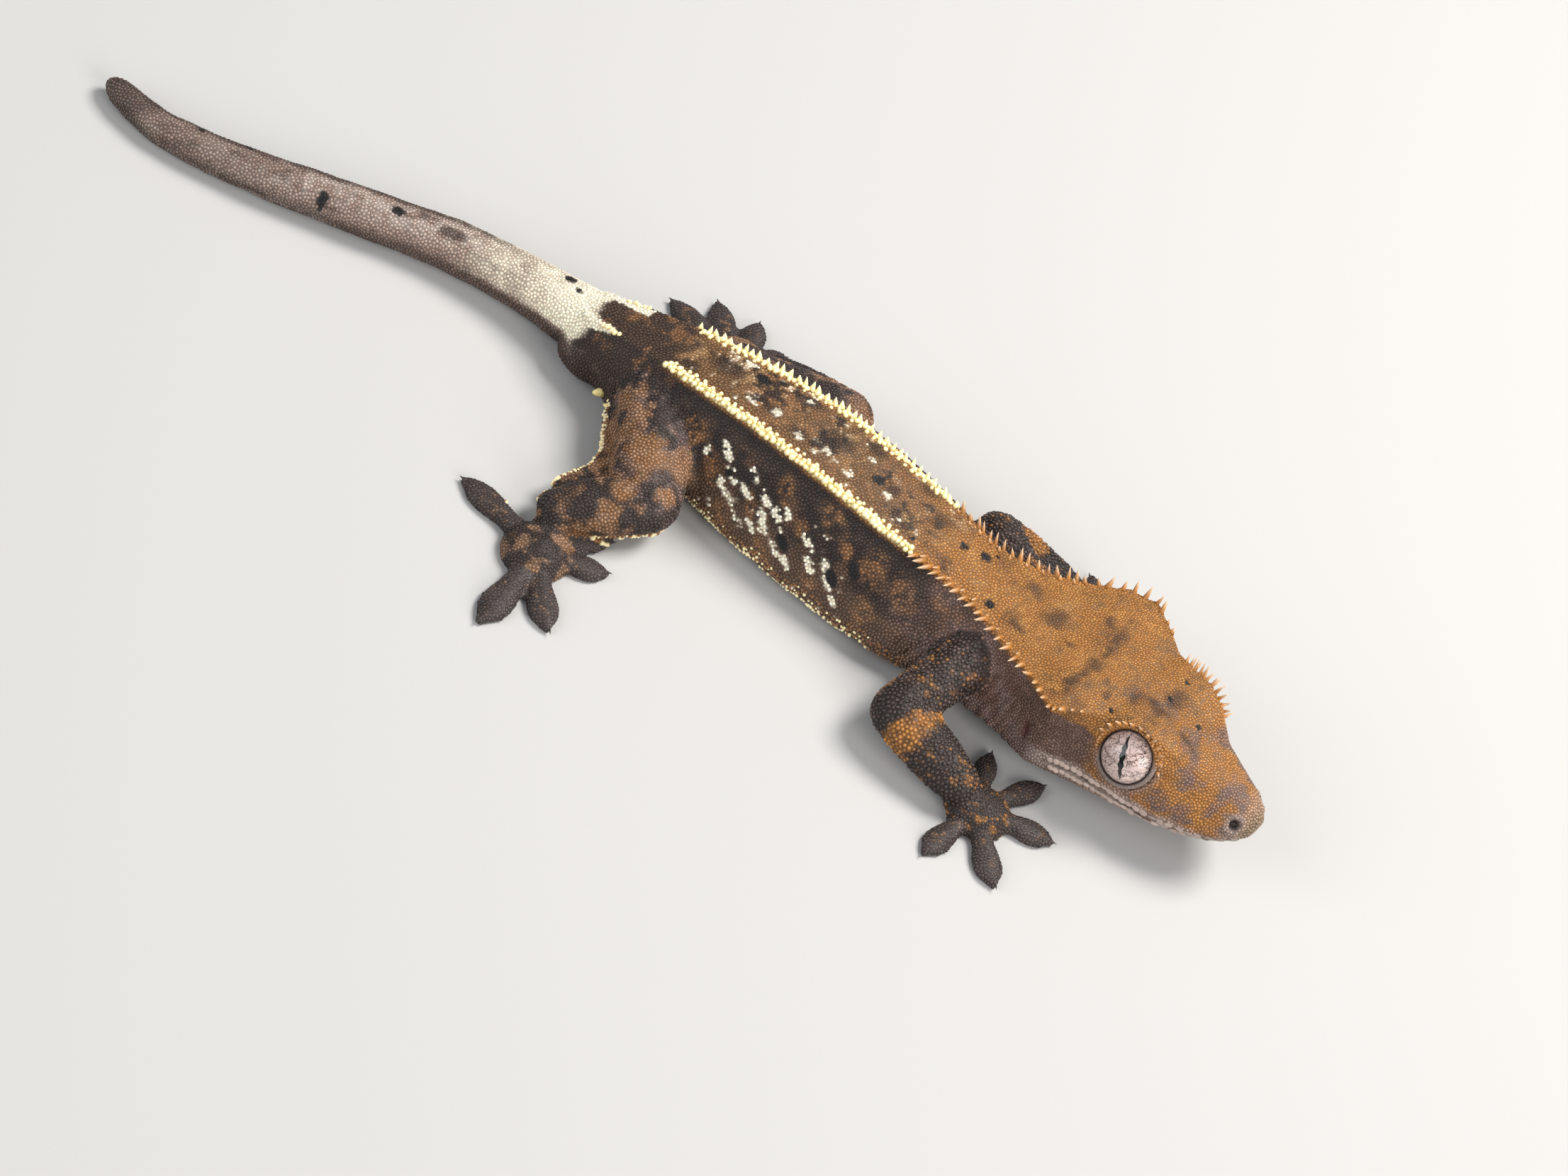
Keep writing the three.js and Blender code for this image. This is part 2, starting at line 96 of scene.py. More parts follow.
world = bpy.data.worlds.new("studio")
bpy.context.scene.world = world
world.use_nodes = True
world.node_tree.nodes["Background"].inputs["Color"].default_value = (0.93, 0.95, 1.0, 1)
world.node_tree.nodes["Background"].inputs["Strength"].default_value = 0.3

# the body's own coordinates in millimetres: from the snout along the spine, to the left, and up
bodyShape = {
    "spine": [(73.7, -4.0, 10.4), (64.5, -2.9, 10.3), (55, -1.4, 10.1), (44.7, -0.2, 9.7), (34, -0.5, 9.0),
              (24, -0.6, 8.3), (12, -0.1, 7.9), (0, 0, 7.9), (-24, 0, 7.0), (-38.6, 0.4, 5.0), (-47, 0.2, 4.2),
              (-58.8, -1.9, 3.5), (-70.3, -6.2, 3.2), (-81.6, -10.7, 2.85), (-93.2, -14.5, 2.45),
              (-101, -15.6, 2.1), (-109, -14.2, 1.8)],
    "ridgeOut": [(0, 0.7), (1, 1.3), (3, 2.0), (8, 3.0), (11, 3.8), (13.5, 5.5), (17, 7.0), (20, 7.3),
                 (22.5, 8.0), (26, 10.8), (29.5, 13.1), (32, 11.9), (35, 10.0), (41, 7.2), (47, 5.2), (54, 5.2),
                 (62, 5.8), (74, 5.9), (86, 5.2), (98, 4.3), (106, 3.3), (113, 2.5), (120, 2.1), (186, 0.95)],
    "ridgeUp": [(0, 0.6), (1, 1.3), (3, 2.0), (8, 2.9), (11, 3.9), (14, 5.7), (17, 6.7), (20, 6.3), (23, 5.3),
                (29.5, 5.0), (36, 4.6), (41, 4.5), (47, 5.0), (60, 6.5), (74, 7.5), (86, 7.2), (98, 5.9),
                (106, 4.5), (113, 3.5), (120, 3.1), (158, 2.4), (186, 1.45)],
    "sideOut": [(0, 1.3), (1, 2.9), (3.6, 5.4), (8, 7.6), (12.6, 9.3), (18, 10.4), (23, 11.5), (28, 12.7),
                (34, 11.9), (38, 10.8), (46, 10.8), (53, 12.4), (62, 13.3), (72, 13.1), (82, 12.0), (92, 10.2)],
    "mouthUp": [(-2, -1.5), (3.6, -3.0), (9, -3.4), (16, -3.7), (22, -4.0), (26.5, -4.7)],
}


def keyed(name, at):
    keys = bodyShape[name]
    return np.interp(at, [k[0] for k in keys], [k[1] for k in keys])


def sampleSpine(points, steps=14):
    p = np.array([2 * np.array(points[0]) - np.array(points[1]), *points,
                  2 * np.array(points[-1]) - np.array(points[-2])], float)
    out = []
    for i in range(1, len(p) - 2):
        for k in range(steps):
            t = k / steps
            out.append(0.5 * (2 * p[i] + (p[i + 1] - p[i - 1]) * t
                              + (2 * p[i - 1] - 5 * p[i] + 4 * p[i + 1] - p[i + 2]) * t ** 2
                              + (3 * p[i] - p[i - 1] - 3 * p[i + 1] + p[i + 2]) * t ** 3))
    out.append(p[-2])
    return np.array(out)


spine = sampleSpine(bodyShape["spine"])
spineAt = np.concatenate([[0], np.cumsum(np.linalg.norm(np.diff(spine, axis=0), axis=1))])
spineBack = np.gradient(spine, axis=0)
spineBack /= np.linalg.norm(spineBack, axis=1)[:, None]
spineLeft = np.stack([spineBack[:, 1], -spineBack[:, 0], 0 * spineBack[:, 0]], axis=1)
spineLeft /= np.linalg.norm(spineLeft, axis=1)[:, None]
spineUp = np.cross(spineLeft, -spineBack)
spineUp *= np.sign(spineUp[:, 2])[:, None]


def along(table, at):
    return np.stack([np.interp(at, spineAt, table[:, k]) for k in range(3)], axis=-1)


def placeAt(at, out, up):
    at, out, up = (np.atleast_1d(np.asarray(x, float)) for x in (at, out, up))
    return along(spine, at) + along(spineLeft, at) * out[:, None] + along(spineUp, at) * up[:, None]


def bodyPlace(points):
    nearest = np.empty(len(points), int)
    for start in range(0, len(points), 20000):
        part = points[start:start + 20000, None, :2] - spine[None, :, :2]
        nearest[start:start + 20000] = (part ** 2).sum(axis=2).argmin(axis=1)
    away = points - spine[nearest]
    at = spineAt[nearest] + (away * spineBack[nearest]).sum(axis=1)
    return at, (away * spineLeft[nearest]).sum(axis=1), (away * spineUp[nearest]).sum(axis=1)


# smooth noise and soft edges for markings and folds
def lattice(cell, seed):
    n = cell[:, 0] * 73856093 ^ cell[:, 1] * 19349663 ^ cell[:, 2] * 83492791 ^ seed * 2654435
    n = (n ^ (n >> 13)) * 1274126177 & 0xFFFFFFFF
    n = (n ^ (n >> 16)) * 668265263 & 0xFFFFFFFF
    return (n ^ (n >> 15)) / 0xFFFFFFFF * 2 - 1


def clouds(points, size, seed, octaves=3):
    total = np.zeros(len(points))
    weight = 1.0
    for octave in range(octaves):
        q = points / size * 2 ** octave + 31.7
        cell = np.floor(q).astype(np.int64)
        f = q - cell
        f = f * f * (3 - 2 * f)
        for dx in (0, 1):
            for dy in (0, 1):
                for dz in (0, 1):
                    share = ((f[:, 0] if dx else 1 - f[:, 0]) * (f[:, 1] if dy else 1 - f[:, 1])
                             * (f[:, 2] if dz else 1 - f[:, 2]))
                    total += weight * share * lattice(cell + np.array([dx, dy, dz]), seed + octave)
        weight *= 0.5
    return total


def ramp(x, low, high):
    t = np.clip((x - low) / (high - low), 0, 1)
    return t * t * (3 - 2 * t)


def ebb(x, low, high):
    return 1 - ramp(x, low, high)


def span(x, rise, full, fall, gone):
    return ramp(x, rise, full) * ebb(x, fall, gone)


def gapTo(points, place):
    return np.linalg.norm(points - np.array(place), axis=1)


def partOf(names, *marks):
    return np.any([np.char.find(names, mark) >= 0 for mark in marks], axis=0)


def blend(tone, other, share):
    return tone * (1 - share[:, None]) + np.asarray(other) * share[:, None]


# the skin: the flesh nodes grown together into one closed surface
skinMake = {"swell": 0.24, "grain": 0.4, "inset": 0.22}
fleshNames = sorted(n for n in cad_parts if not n.startswith("eye_"))


def clearSelection():
    for o in list(bpy.context.selected_objects):
        o.select_set(False)


def copiedTogether(names, called):
    clearSelection()
    copies = []
    for n in names:
        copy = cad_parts[n].copy()
        copy.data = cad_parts[n].data.copy()
        copy.parent = None
        for key in list(copy.keys()):
            del copy[key]
        bpy.context.scene.collection.objects.link(copy)
        copy.select_set(True)
        copies.append(copy)
    bpy.context.view_layer.objects.active = copies[0]
    bpy.ops.object.join()
    joined = bpy.context.object
    joined.name = called
    joined.data.materials.clear()
    bpy.ops.object.mode_set(mode="EDIT")
    bpy.ops.mesh.select_all(action="SELECT")
    bpy.ops.mesh.remove_doubles(threshold=0.00001)
    bpy.ops.object.mode_set(mode="OBJECT")
    return joined


def applyModifier(piece, kind, **values):
    bpy.context.view_layer.objects.active = piece
    modifier = piece.modifiers.new(kind.lower(), kind)
    for key, value in values.items():
        setattr(modifier, key, value)
    bpy.ops.object.modifier_apply(modifier=modifier.name)


def meshArrays(mesh):
    points = np.empty(len(mesh.vertices) * 3)
    mesh.vertices.foreach_get("co", points)
    edges = np.empty(len(mesh.edges) * 2, np.int64)
    mesh.edges.foreach_get("vertices", edges)
    return points.reshape(-1, 3) / mm, edges.reshape(-1, 2)


def setPoints(mesh, points):
    mesh.vertices.foreach_set("co", (points * mm).ravel())
    mesh.update()


def meshNormals(mesh):
    normals = np.empty(len(mesh.vertices) * 3)
    mesh.vertices.foreach_get("normal", normals)
    return normals.reshape(-1, 3)


def relax(points, edges, weight, passes, keepSize=True):
    count = np.bincount(edges.ravel(), minlength=len(points)).astype(float)[:, None]
    for i in range(passes):
        for pull in ((0.5, -0.52) if keepSize else (0.5,)):
            total = np.zeros_like(points)
            for k in range(3):
                total[:, k] = (np.bincount(edges[:, 0], points[edges[:, 1], k], len(points))
                               + np.bincount(edges[:, 1], points[edges[:, 0], k], len(points)))
            points = points + (total / count - points) * (pull * weight[:, None])
    return points


skin = copiedTogether(fleshNames, "skin")
applyModifier(skin, "DISPLACE", strength=skinMake["swell"] * mm, mid_level=0.0)
applyModifier(skin, "REMESH", mode="VOXEL", voxel_size=skinMake["grain"] * mm)
print("skin grown together,", len(skin.data.polygons), "faces")

# which node each point of the skin belongs to
corners, faces, owner = [], [], []
for index, n in enumerate(fleshNames):
    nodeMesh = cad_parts[n].data
    start = len(corners)
    corners += [v.co / mm for v in nodeMesh.vertices]
    for p in nodeMesh.polygons:
        faces.append([start + v for v in p.vertices])
        owner.append(index)
fleshTree = BVHTree.FromPolygons(corners, faces)
points, edges = meshArrays(skin.data)
region = np.array([owner[fleshTree.find_nearest(p)[2]] for p in points])
nodeOf = np.array(fleshNames)
names = nodeOf[region]
isToe, isFoot = partOf(names, "_toe_"), partOf(names, "_hand", "_foot")
isHead, isLimb = partOf(names, "head", "lower_jaw"), partOf(names, "front_", "hind_")
isBody = ~isLimb & ~isHead

weight = np.where(isToe, 0.25, np.where(isHead, 0.5, np.where(isLimb, 0.7, 1.0)))
points = relax(points, edges, weight, 4, keepSize=False)
points = relax(points, edges, np.where(isBody, 1.0, np.where(isHead, 0.4, np.where(isToe, 0.3, 0.8))), 24)

# soft folds where a limb meets the body and at each elbow and knee
regionEdge = region[edges[:, 0]] != region[edges[:, 1]]
jointEdge = regionEdge & isLimb[edges].any(axis=1) & ~isToe[edges].any(axis=1)
nearJoint = np.zeros(len(points))
nearJoint[edges[jointEdge].ravel()] = 1
for i in range(7):
    spread = np.maximum(nearJoint[edges[:, 0]], nearJoint[edges[:, 1]]) * 0.87
    np.maximum.at(nearJoint, edges[:, 0], spread)
    np.maximum.at(nearJoint, edges[:, 1], spread)
points = relax(points, edges, nearJoint, 16, keepSize=False)
points[:, 2] = np.maximum(points[:, 2], 0.02)
setPoints(skin.data, points)

# the eyes' places, for the lids' rims and the markings round them
eyeShape = {"at": 17.6, "out": 6.25, "up": 0.7, "radius": 4.15, "opening": 3.7, "tilt": 32}
eyes = {}
for side in (1, -1):
    tilt = math.radians(eyeShape["tilt"])
    left, top, back = (along(t, eyeShape["at"]) for t in (spineLeft, spineUp, spineBack))
    look = left * side * math.cos(tilt) + top * math.sin(tilt)
    eyes[side] = {"centre": placeAt(eyeShape["at"], side * eyeShape["out"], eyeShape["up"])[0],
                  "look": look, "ahead": -back, "up": np.cross(look, -back) * -side}

nostrilShape = {"at": 2.2, "out": 3.1, "up": 0.5, "radius": 0.62}
nostrils = {side: placeAt(nostrilShape["at"], side * nostrilShape["out"], nostrilShape["up"])[0] for side in (1, -1)}

# sculpted detail: how far each feature stands out or lies in
relief = {"crest": 0.3, "mouth": 0.3, "lip": 0.12, "ear": 0.85, "nostril": 0.8, "nostrilRim": 0.2, "socket": 0.16,
          "throat": 0.15, "joint": 0.11, "lumps": 0.10, "foot": 0.12}
at, out, up = bodyPlace(points)
normals = meshNormals(skin.data)
ridgeGap = np.hypot(np.abs(out) - keyed("ridgeOut", at), up - keyed("ridgeUp", at))
push = np.where(isToe | isFoot, -relief["foot"], -skinMake["inset"])
push += relief["crest"] * np.exp(-(ridgeGap / 0.6) ** 2) * ramp(at, 24, 28) * (at < 112) * ~isLimb
mouthGap = up - keyed("mouthUp", at)
push -= relief["mouth"] * np.exp(-(mouthGap / 0.24) ** 2) * isHead * (at < 26.5)
push += relief["lip"] * np.exp(-((np.abs(mouthGap) - 0.6) / 0.35) ** 2) * isHead * (at < 25)
earGap = np.hypot((at - 31.9 - (up + 3) * 0.25) / 0.45, (up + 3.0) / 1.3)
push -= relief["ear"] * np.exp(-earGap ** 2) * isHead
for side in (1, -1):
    gap = gapTo(points, nostrils[side])
    push -= relief["nostril"] * np.exp(-(gap / nostrilShape["radius"]) ** 2)
    push += relief["nostrilRim"] * np.exp(-((gap - 1.2) / 0.35) ** 2)
    push += relief["socket"] * np.exp(-((gapTo(points, eyes[side]["centre"]) - 4.9) / 0.5) ** 2) * isHead
wobble = clouds(points, 4, 3)
throat = ramp(at, 31, 36) * (1 - ramp(at, 48, 56)) * (1 - ramp(up, -1, 3)) * ~isLimb
push += relief["throat"] * np.sin(at * 4.4 + wobble * 2.6 + up * 0.8) * throat
push += relief["joint"] * np.sin(at * 3.6 + wobble * 3 - up * 1.5) * nearJoint
push += relief["lumps"] * clouds(points, 3.2, 6, 2) * (isBody | isLimb) * ~isToe
push += relief["lumps"] * clouds(points, 5.0, 7, 2) * isHead * (up > 2)
points = points + normals * push[:, None]
points[:, 2] = np.maximum(points[:, 2], 0.02)
setPoints(skin.data, points)
print("skin sculpted")

# markings, the same for skin and coat
paint = {
    "nearBlack": hue(44, 31, 27), "darkBrown": hue(64, 47, 39), "brown": hue(100, 72, 52),
    "orangeBrown": hue(146, 102, 62), "tan": hue(164, 126, 96), "crown": hue(168, 112, 50),
    "crownLight": hue(190, 138, 74), "crownDark": hue(124, 82, 42), "crownGold": hue(198, 140, 66),
    "ochre": hue(184, 124, 58), "cream": hue(252, 232, 160), "creamWhite": hue(255, 244, 218),
    "greyMauve": hue(126, 103, 97), "paleMauve": hue(178, 158, 147), "cheek": hue(108, 82, 70),
    "cheekLight": hue(144, 116, 102), "umber": hue(116, 84, 58), "mauveBrown": hue(128, 98, 82),
    # the silver colour is used only for the tail's painted sheen
    "backBrown": hue(124, 90, 56), "backGold": hue(176, 138, 92), "sheenSilver": hue(202, 188, 177),
    "tailGrey": hue(158, 134, 122), "tailDark": hue(92, 72, 62), "charcoal": hue(56, 44, 40),
    "toeGrey": hue(74, 63, 60), "black": hue(16, 13, 13), "belly": hue(150, 126, 108),
    "snoutTip": hue(126, 112, 88), "earRed": hue(110, 58, 50), "nostril": hue(36, 20, 20),
}
paint = {k: np.array(v) for k, v in paint.items()}
mixes = {"spineTip": ("ochre", 0.6, 0.4), "beadTip": ("cream", 0.4, 0.6), "lashTip": ("ochre", 0.5, 0.45),
         "edgeCream": ("cream", 0.6, 0.35)}
for name, (base, share, white) in mixes.items():
    paint[name] = paint[base] * share + paint["creamWhite"] * white

spots = {
    # on the back: from the snout, to the left, half length, half width
    "black": [(87.0, 1.8, 0.95, 0.75), (84.7, 3.3, 0.45, 0.4), (66.9, -0.4, 0.75, 0.65), (52.5, 0.8, 0.5, 0.45),
              (49.4, 1.9, 0.7, 0.6), (48.3, 3.4, 0.35, 0.3), (44.8, -3.9, 0.6, 0.5), (152.0, -2.2, 0.6, 0.7),
              (142.1, -0.6, 0.8, 0.6), (117.1, 1.4, 0.75, 0.65), (114.9, 0.2, 0.42, 0.4), (170.6, 1.0, 0.4, 0.35),
              (163.6, 1.4, 0.5, 0.4), (22.8, -7.2, 0.32, 0.3), (19.0, 0.8, 0.32, 0.3), (14.1, 1.2, 0.28, 0.25),
              (19.2, 4.4, 0.3, 0.3), (58.0, -4.0, 0.3, 0.3)],
    "smudge": [(37.2, 0.3, 1.9, 1.5), (29.6, -8.2, 0.9, 1.7), (29.5, -5.6, 0.8, 1.6), (28.9, -3.4, 1.0, 1.3),
               (28.6, -0.4, 0.7, 1.5), (29.2, 3.2, 1.1, 1.4), (31.0, 4.4, 0.8, 0.8), (21.8, -2.8, 0.8, 1.6),
               (18.9, -1.9, 1.9, 0.9), (18.4, 1.3, 1.3, 1.5), (33.4, -2.4, 0.6, 0.5), (41.5, 2.4, 1.2, 0.9),
               (24.8, -6.0, 0.6, 0.6), (13.4, -2.0, 1.6, 0.6), (40.2, -4.6, 1.0, 0.6)],
    "backDark": [(60.7, 4.3, 1.5, 1.2), (74.4, 0.5, 2.6, 1.7), (64.6, 0.1, 1.0, 1.3), (56.5, 2.2, 1.1, 1.4),
                 (80.0, 3.4, 1.6, 1.1), (91.5, 0.6, 2.4, 1.6), (95.8, -2.6, 1.4, 1.0), (69.6, 3.6, 1.3, 1.0),
                 (83.2, -1.8, 1.3, 1.0), (61.8, -3.0, 0.9, 1.0), (78.6, -2.6, 1.4, 0.8), (101.0, 1.0, 1.6, 1.5)],
    "backPale": [(82.6, -1.8, 0.8, 0.6), (74.0, -2.2, 0.8, 0.7), (64.5, -1.7, 0.6, 0.7), (80.2, 3.0, 0.7, 0.5),
                 (89.5, 3.0, 1.1, 0.5), (70.4, -2.8, 0.8, 0.5), (75.0, -3.4, 0.8, 0.5), (69.2, 1.6, 0.6, 0.4),
                 (86.0, -2.6, 0.6, 0.4), (78.2, -3.0, 0.6, 0.5), (92.6, 3.4, 0.7, 0.4), (61.0, -3.2, 0.5, 0.4)],
    # on the flank: from the snout, up, half length and half width of a streak that leans down and forwards
    "snout": [(11.5, -0.6, 1.7, 1.1), (8.4, -0.6, 1.3, 1.3), (14.8, -2.3, 1.4, 0.8), (5.4, 1.2, 1.2, 1.0),
              (9.8, 2.2, 1.4, 0.5)],
    "flankBlack": [(82.9, 1.9, 0.5, 0.5), (71.7, -0.7, 1.1, 0.6), (63.6, -0.5, 1.25, 0.65), (61.5, 1.7, 1.1, 0.6)],
    "flankCream": [(87.0, 2.2, 0.9, 0.5), (84.7, 3.9, 1.1, 0.5), (82.4, 2.0, 1.2, 0.6), (83.1, 0.3, 1.1, 0.5),
                   (79.8, 1.6, 1.1, 0.6), (79.6, 3.6, 0.8, 0.5), (76.6, 2.3, 1.2, 0.5), (74.4, 1.7, 1.2, 0.6),
                   (75.7, 0.2, 1.6, 0.6), (73.5, 2.9, 0.7, 0.4), (78.3, -2.6, 1.2, 0.5), (72.5, -1.8, 1.3, 0.5),
                   (70.4, -2.5, 1.2, 0.5), (68.8, 1.2, 1.4, 0.5), (67.0, -0.8, 1.2, 0.5), (65.0, 0.2, 1.4, 0.5),
                   (63.8, -1.2, 1.1, 0.4), (61.9, -2.9, 0.9, 0.4), (80.8, -0.8, 1.2, 0.45), (76.8, -1.6, 1.3, 0.45)],
    "flankOrange": [(59.7, 3.0, 2.0, 1.5), (54.4, 2.0, 2.2, 1.3), (68.4, 5.4, 1.6, 1.1), (75.1, 4.5, 1.7, 1.0),
                    (47.1, 0.0, 2.2, 1.3), (57.2, -2.0, 2.0, 1.2), (64.0, 3.2, 1.5, 0.9), (70.4, 1.8, 1.8, 0.9),
                    (78.2, 0.6, 2.2, 0.9), (85.2, 0.8, 2.0, 1.0), (89.4, 3.0, 1.6, 1.2), (50.4, 4.0, 1.5, 1.0),
                    (65.8, -3.0, 2.0, 0.9), (73.8, -3.6, 2.0, 0.8), (81.4, -3.4, 2.0, 0.9)],
}
spotGrowth = {"black": 1.22, "flankCream": 1.05, "flankBlack": 1.15}
flankLean = {"cream": 32, "black": 32, "orange": 45}  # degrees


def blots(a, b, group, soften, lean=0.0):
    share = np.zeros(len(a))
    c, s = math.cos(math.radians(lean)), math.sin(math.radians(lean))
    grow = spotGrowth.get(group, 1)
    for x, y, long, wide in spots[group]:
        dx, dy = (a - x) / grow, (b - y) / grow
        gap = np.hypot((dx * c + dy * s) / long, (dy * c - dx * s) / wide)
        share = np.maximum(share, ebb(gap, 1 - soften, 1 + soften))
    return share


def layered(base, *coats):
    tone = paint[base] if isinstance(base, str) else base
    for colour, share in coats:
        tone = blend(tone, paint[colour] if isinstance(colour, str) else colour, share)
    return tone


# in each tone below, big, mid, fine and speck are noise of falling size
def backTone(at, out, ridge, big, mid, fine, speck):
    pale = np.maximum(ramp(fine * 0.8 + speck * 0.8 + mid * 0.4, 0.6, 0.8) * ramp(ridge, -6.0, -1.0),
                      blots(at + fine * 0.6, out + fine * 0.5, "backPale", 0.2) * ramp(speck, -0.5, -0.2))
    neck = layered("crown", ("crownLight", ramp(fine + speck * 0.4, -0.2, 0.8) * 0.6),
                   ("crownDark", ramp(mid + big * 0.5, 0.0, 0.8) * 0.6))
    return layered("backBrown",
                   ("backGold", ramp(mid + fine * 0.9 + speck * 0.4, -0.1, 0.9) * 0.9),
                   ("orangeBrown", ramp(big + fine * 0.9, -0.1, 0.6) * 0.75),
                   ("nearBlack", ramp(mid * 0.9 - fine * 0.7 + big * 0.4, 0.3, 0.7) * 0.9),
                   ("nearBlack", blots(at + fine * 0.5, out + fine * 0.5, "backDark", 0.5) * 0.75),
                   ("creamWhite", pale * span(at, 54, 60, 92, 97) * 0.85),
                   (neck, ebb(at + mid * 5, 48, 62)))


def flankTone(at, up, side, ridge, bars, mid, fine, speck):
    streak = blots(at + fine * 0.8, up + fine * 0.5, "flankOrange", 0.55, flankLean["orange"])
    pale = blots(at + fine * 0.6 + speck * 0.2, up + fine * 0.45 + speck * 0.2, "flankCream", 0.12,
                 flankLean["cream"])
    flecks = ramp(fine + speck * 0.7, 1.0, 1.15) * ramp(ridge, 7, 9)
    shoulder = layered("cheek", ("greyMauve", ramp(bars * 0.5 + fine * 0.6, -0.3, 0.7) * 0.8),
                       ("orangeBrown", ramp(bars * 0.6 + mid + fine * 0.4, 0.7, 1.4) * 0.45))
    return layered("nearBlack",
                   ("darkBrown", ramp(fine + mid * 0.5, -0.3, 0.8)),
                   ("brown", ramp(bars + mid * 0.9 + fine * 0.4, 0.1, 1.4) * ramp(ridge, 2.0, 6.5) * 0.85),
                   ("orangeBrown", streak * ramp(speck + fine * 0.5, -0.7, 0.5)),
                   (paint["tan"] * 0.8, ramp(ridge, 10.5, 15) * 0.35),
                   (paint["creamWhite"] * 1.05, pale * ramp(speck + fine * 0.5, -0.45, -0.15)),
                   ("creamWhite", flecks * span(at, 58, 66, 86, 90) * 0.9),
                   ("black", blots(at, up, "flankBlack", 0.15, flankLean["black"]) * (side > 6)),
                   (shoulder * 1.3, ebb(at + mid * 3, 44, 57)))


def tailTone(points, at, out, up, mid, fine):
    ring = np.sin(at * 3.1 + clouds(points, 3, 26) * 1.5)
    drawn = clouds(np.column_stack([at * 0.3, out, up]), 1.0, 27, 2)  # noise drawn out lengthwise
    # painted sheen: a silvery highlight in a band along the tail, broken by noise and fading towards the tip
    paintedSheen = ebb(np.abs(out + 0.9), 0.8, 2.6) * ramp(fine * 0.8 - drawn + ring * 0.3, -0.7, 0.7)
    patch = ebb(np.hypot((at - 133.9 + fine * 0.5) / 2.4, (out + 1.0) / 0.9), 0.7, 1.1)
    farEdge = ramp(out + mid * 0.5 + drawn * 0.6, 0.3, 1.7) * ramp(at, 118, 130)
    creamEnd = 124 + mid * 4 + fine * 4
    cream = ebb(at, creamEnd - 12, creamEnd + 12) * ramp(up + fine * 0.3, -0.3, 0.9)
    creamTone = layered("creamWhite", ("tailGrey", ramp(fine, 0.2, 0.9) * ramp(at, 112, 122) * 0.6))
    return layered(paint["tailGrey"] * 1.05,
                   ("tailDark", ramp(ring * 0.5 + fine + mid * 0.4, 0.1, 1.1) * 0.55),
                   ("tailDark", ramp(at, 140, 172) * 0.45),
                   (paint["tailDark"] * 0.7, farEdge * 0.95),
                   (paint["tailDark"] * 0.75, ramp(drawn + fine * 0.3, 0.2, 0.9) * 0.6),
                   (paint["tailDark"] * 0.8, ebb(up + mid * 0.5, -0.9, 0.9) * 0.85),
                   ("sheenSilver", paintedSheen * (1 - ramp(at, 150, 172) * 0.7) * 0.62),
                   ("darkBrown", patch * 0.8),
                   ("darkBrown", ramp(at + mid * 3, 174, 181) * 0.6),
                   (creamTone, cream * 0.95))


def bodyTone(points, at, out, up):
    side = np.abs(out)
    ridge = (side - keyed("ridgeOut", at)) + (keyed("ridgeUp", at) - up)  # above zero is outside the crests
    big, mid, fine = clouds(points, 6, 22), clouds(points, 2.6, 23), clouds(points, 0.9, 24, 2)
    speck = clouds(points, 0.45, 28, 1)
    bars = np.sin((at - up) * 0.85 + clouds(points, 6, 25) * 2.4)  # these lean down and forwards
    back = backTone(at, out, ridge, big, mid, fine, speck)
    flank = flankTone(at, up, side, ridge, bars, mid, fine, speck)
    stripes = span(at, 56, 60, 98, 99)
    rump = layered("darkBrown", ("orangeBrown", ramp(mid + fine * 0.7, 0.2, 1.0) * ramp(up, 1, 4.5) * 0.8),
                   (paint["greyMauve"] * 0.8, ramp(fine + big * 0.4, 0.1, 0.9) * ebb(up, 0, 2.5) * 0.5))
    prong = ((np.abs(out + 3.1) < 0.6) & (at > 106.6)) | ((np.abs(out - 2.6) < 0.8) & (at > 104.5))
    onTail = np.where(prong & (up > -0.5), 1.0, ramp(at + mid * 1.2, 109.8, 111))
    onTail = onTail * ramp(up, -1.6, -0.3) * ebb(at, 113, 118) + ramp(at, 113, 118)
    return layered(np.where((ridge < 0.35)[:, None], back, flank),
                   (paint["ochre"] * 0.8, ebb(np.abs(ridge + fine * 0.3), 0.8, 1.7) * stripes * 0.75),
                   ("cream", ebb(np.abs(ridge + fine * 0.15), 0.45, 0.8) * stripes * 0.9),
                   ("nearBlack", span(ridge, 1.0, 1.6, 2.2, 3.4) * ramp(at, 50, 60) * 0.7),
                   ("ochre", ebb(np.abs(ridge), 0.4, 0.9) * ebb(at, 52, 60) * 0.7),
                   (rump, ramp(at + mid, 95, 99) * ebb(at, 111, 114) * 0.9),
                   (tailTone(points, at, out, up, mid, fine), np.clip(onTail, 0, 1)),
                   ("belly", ebb(up, -7.4, -6.2) * ebb(at, 100, 112) * 0.8))


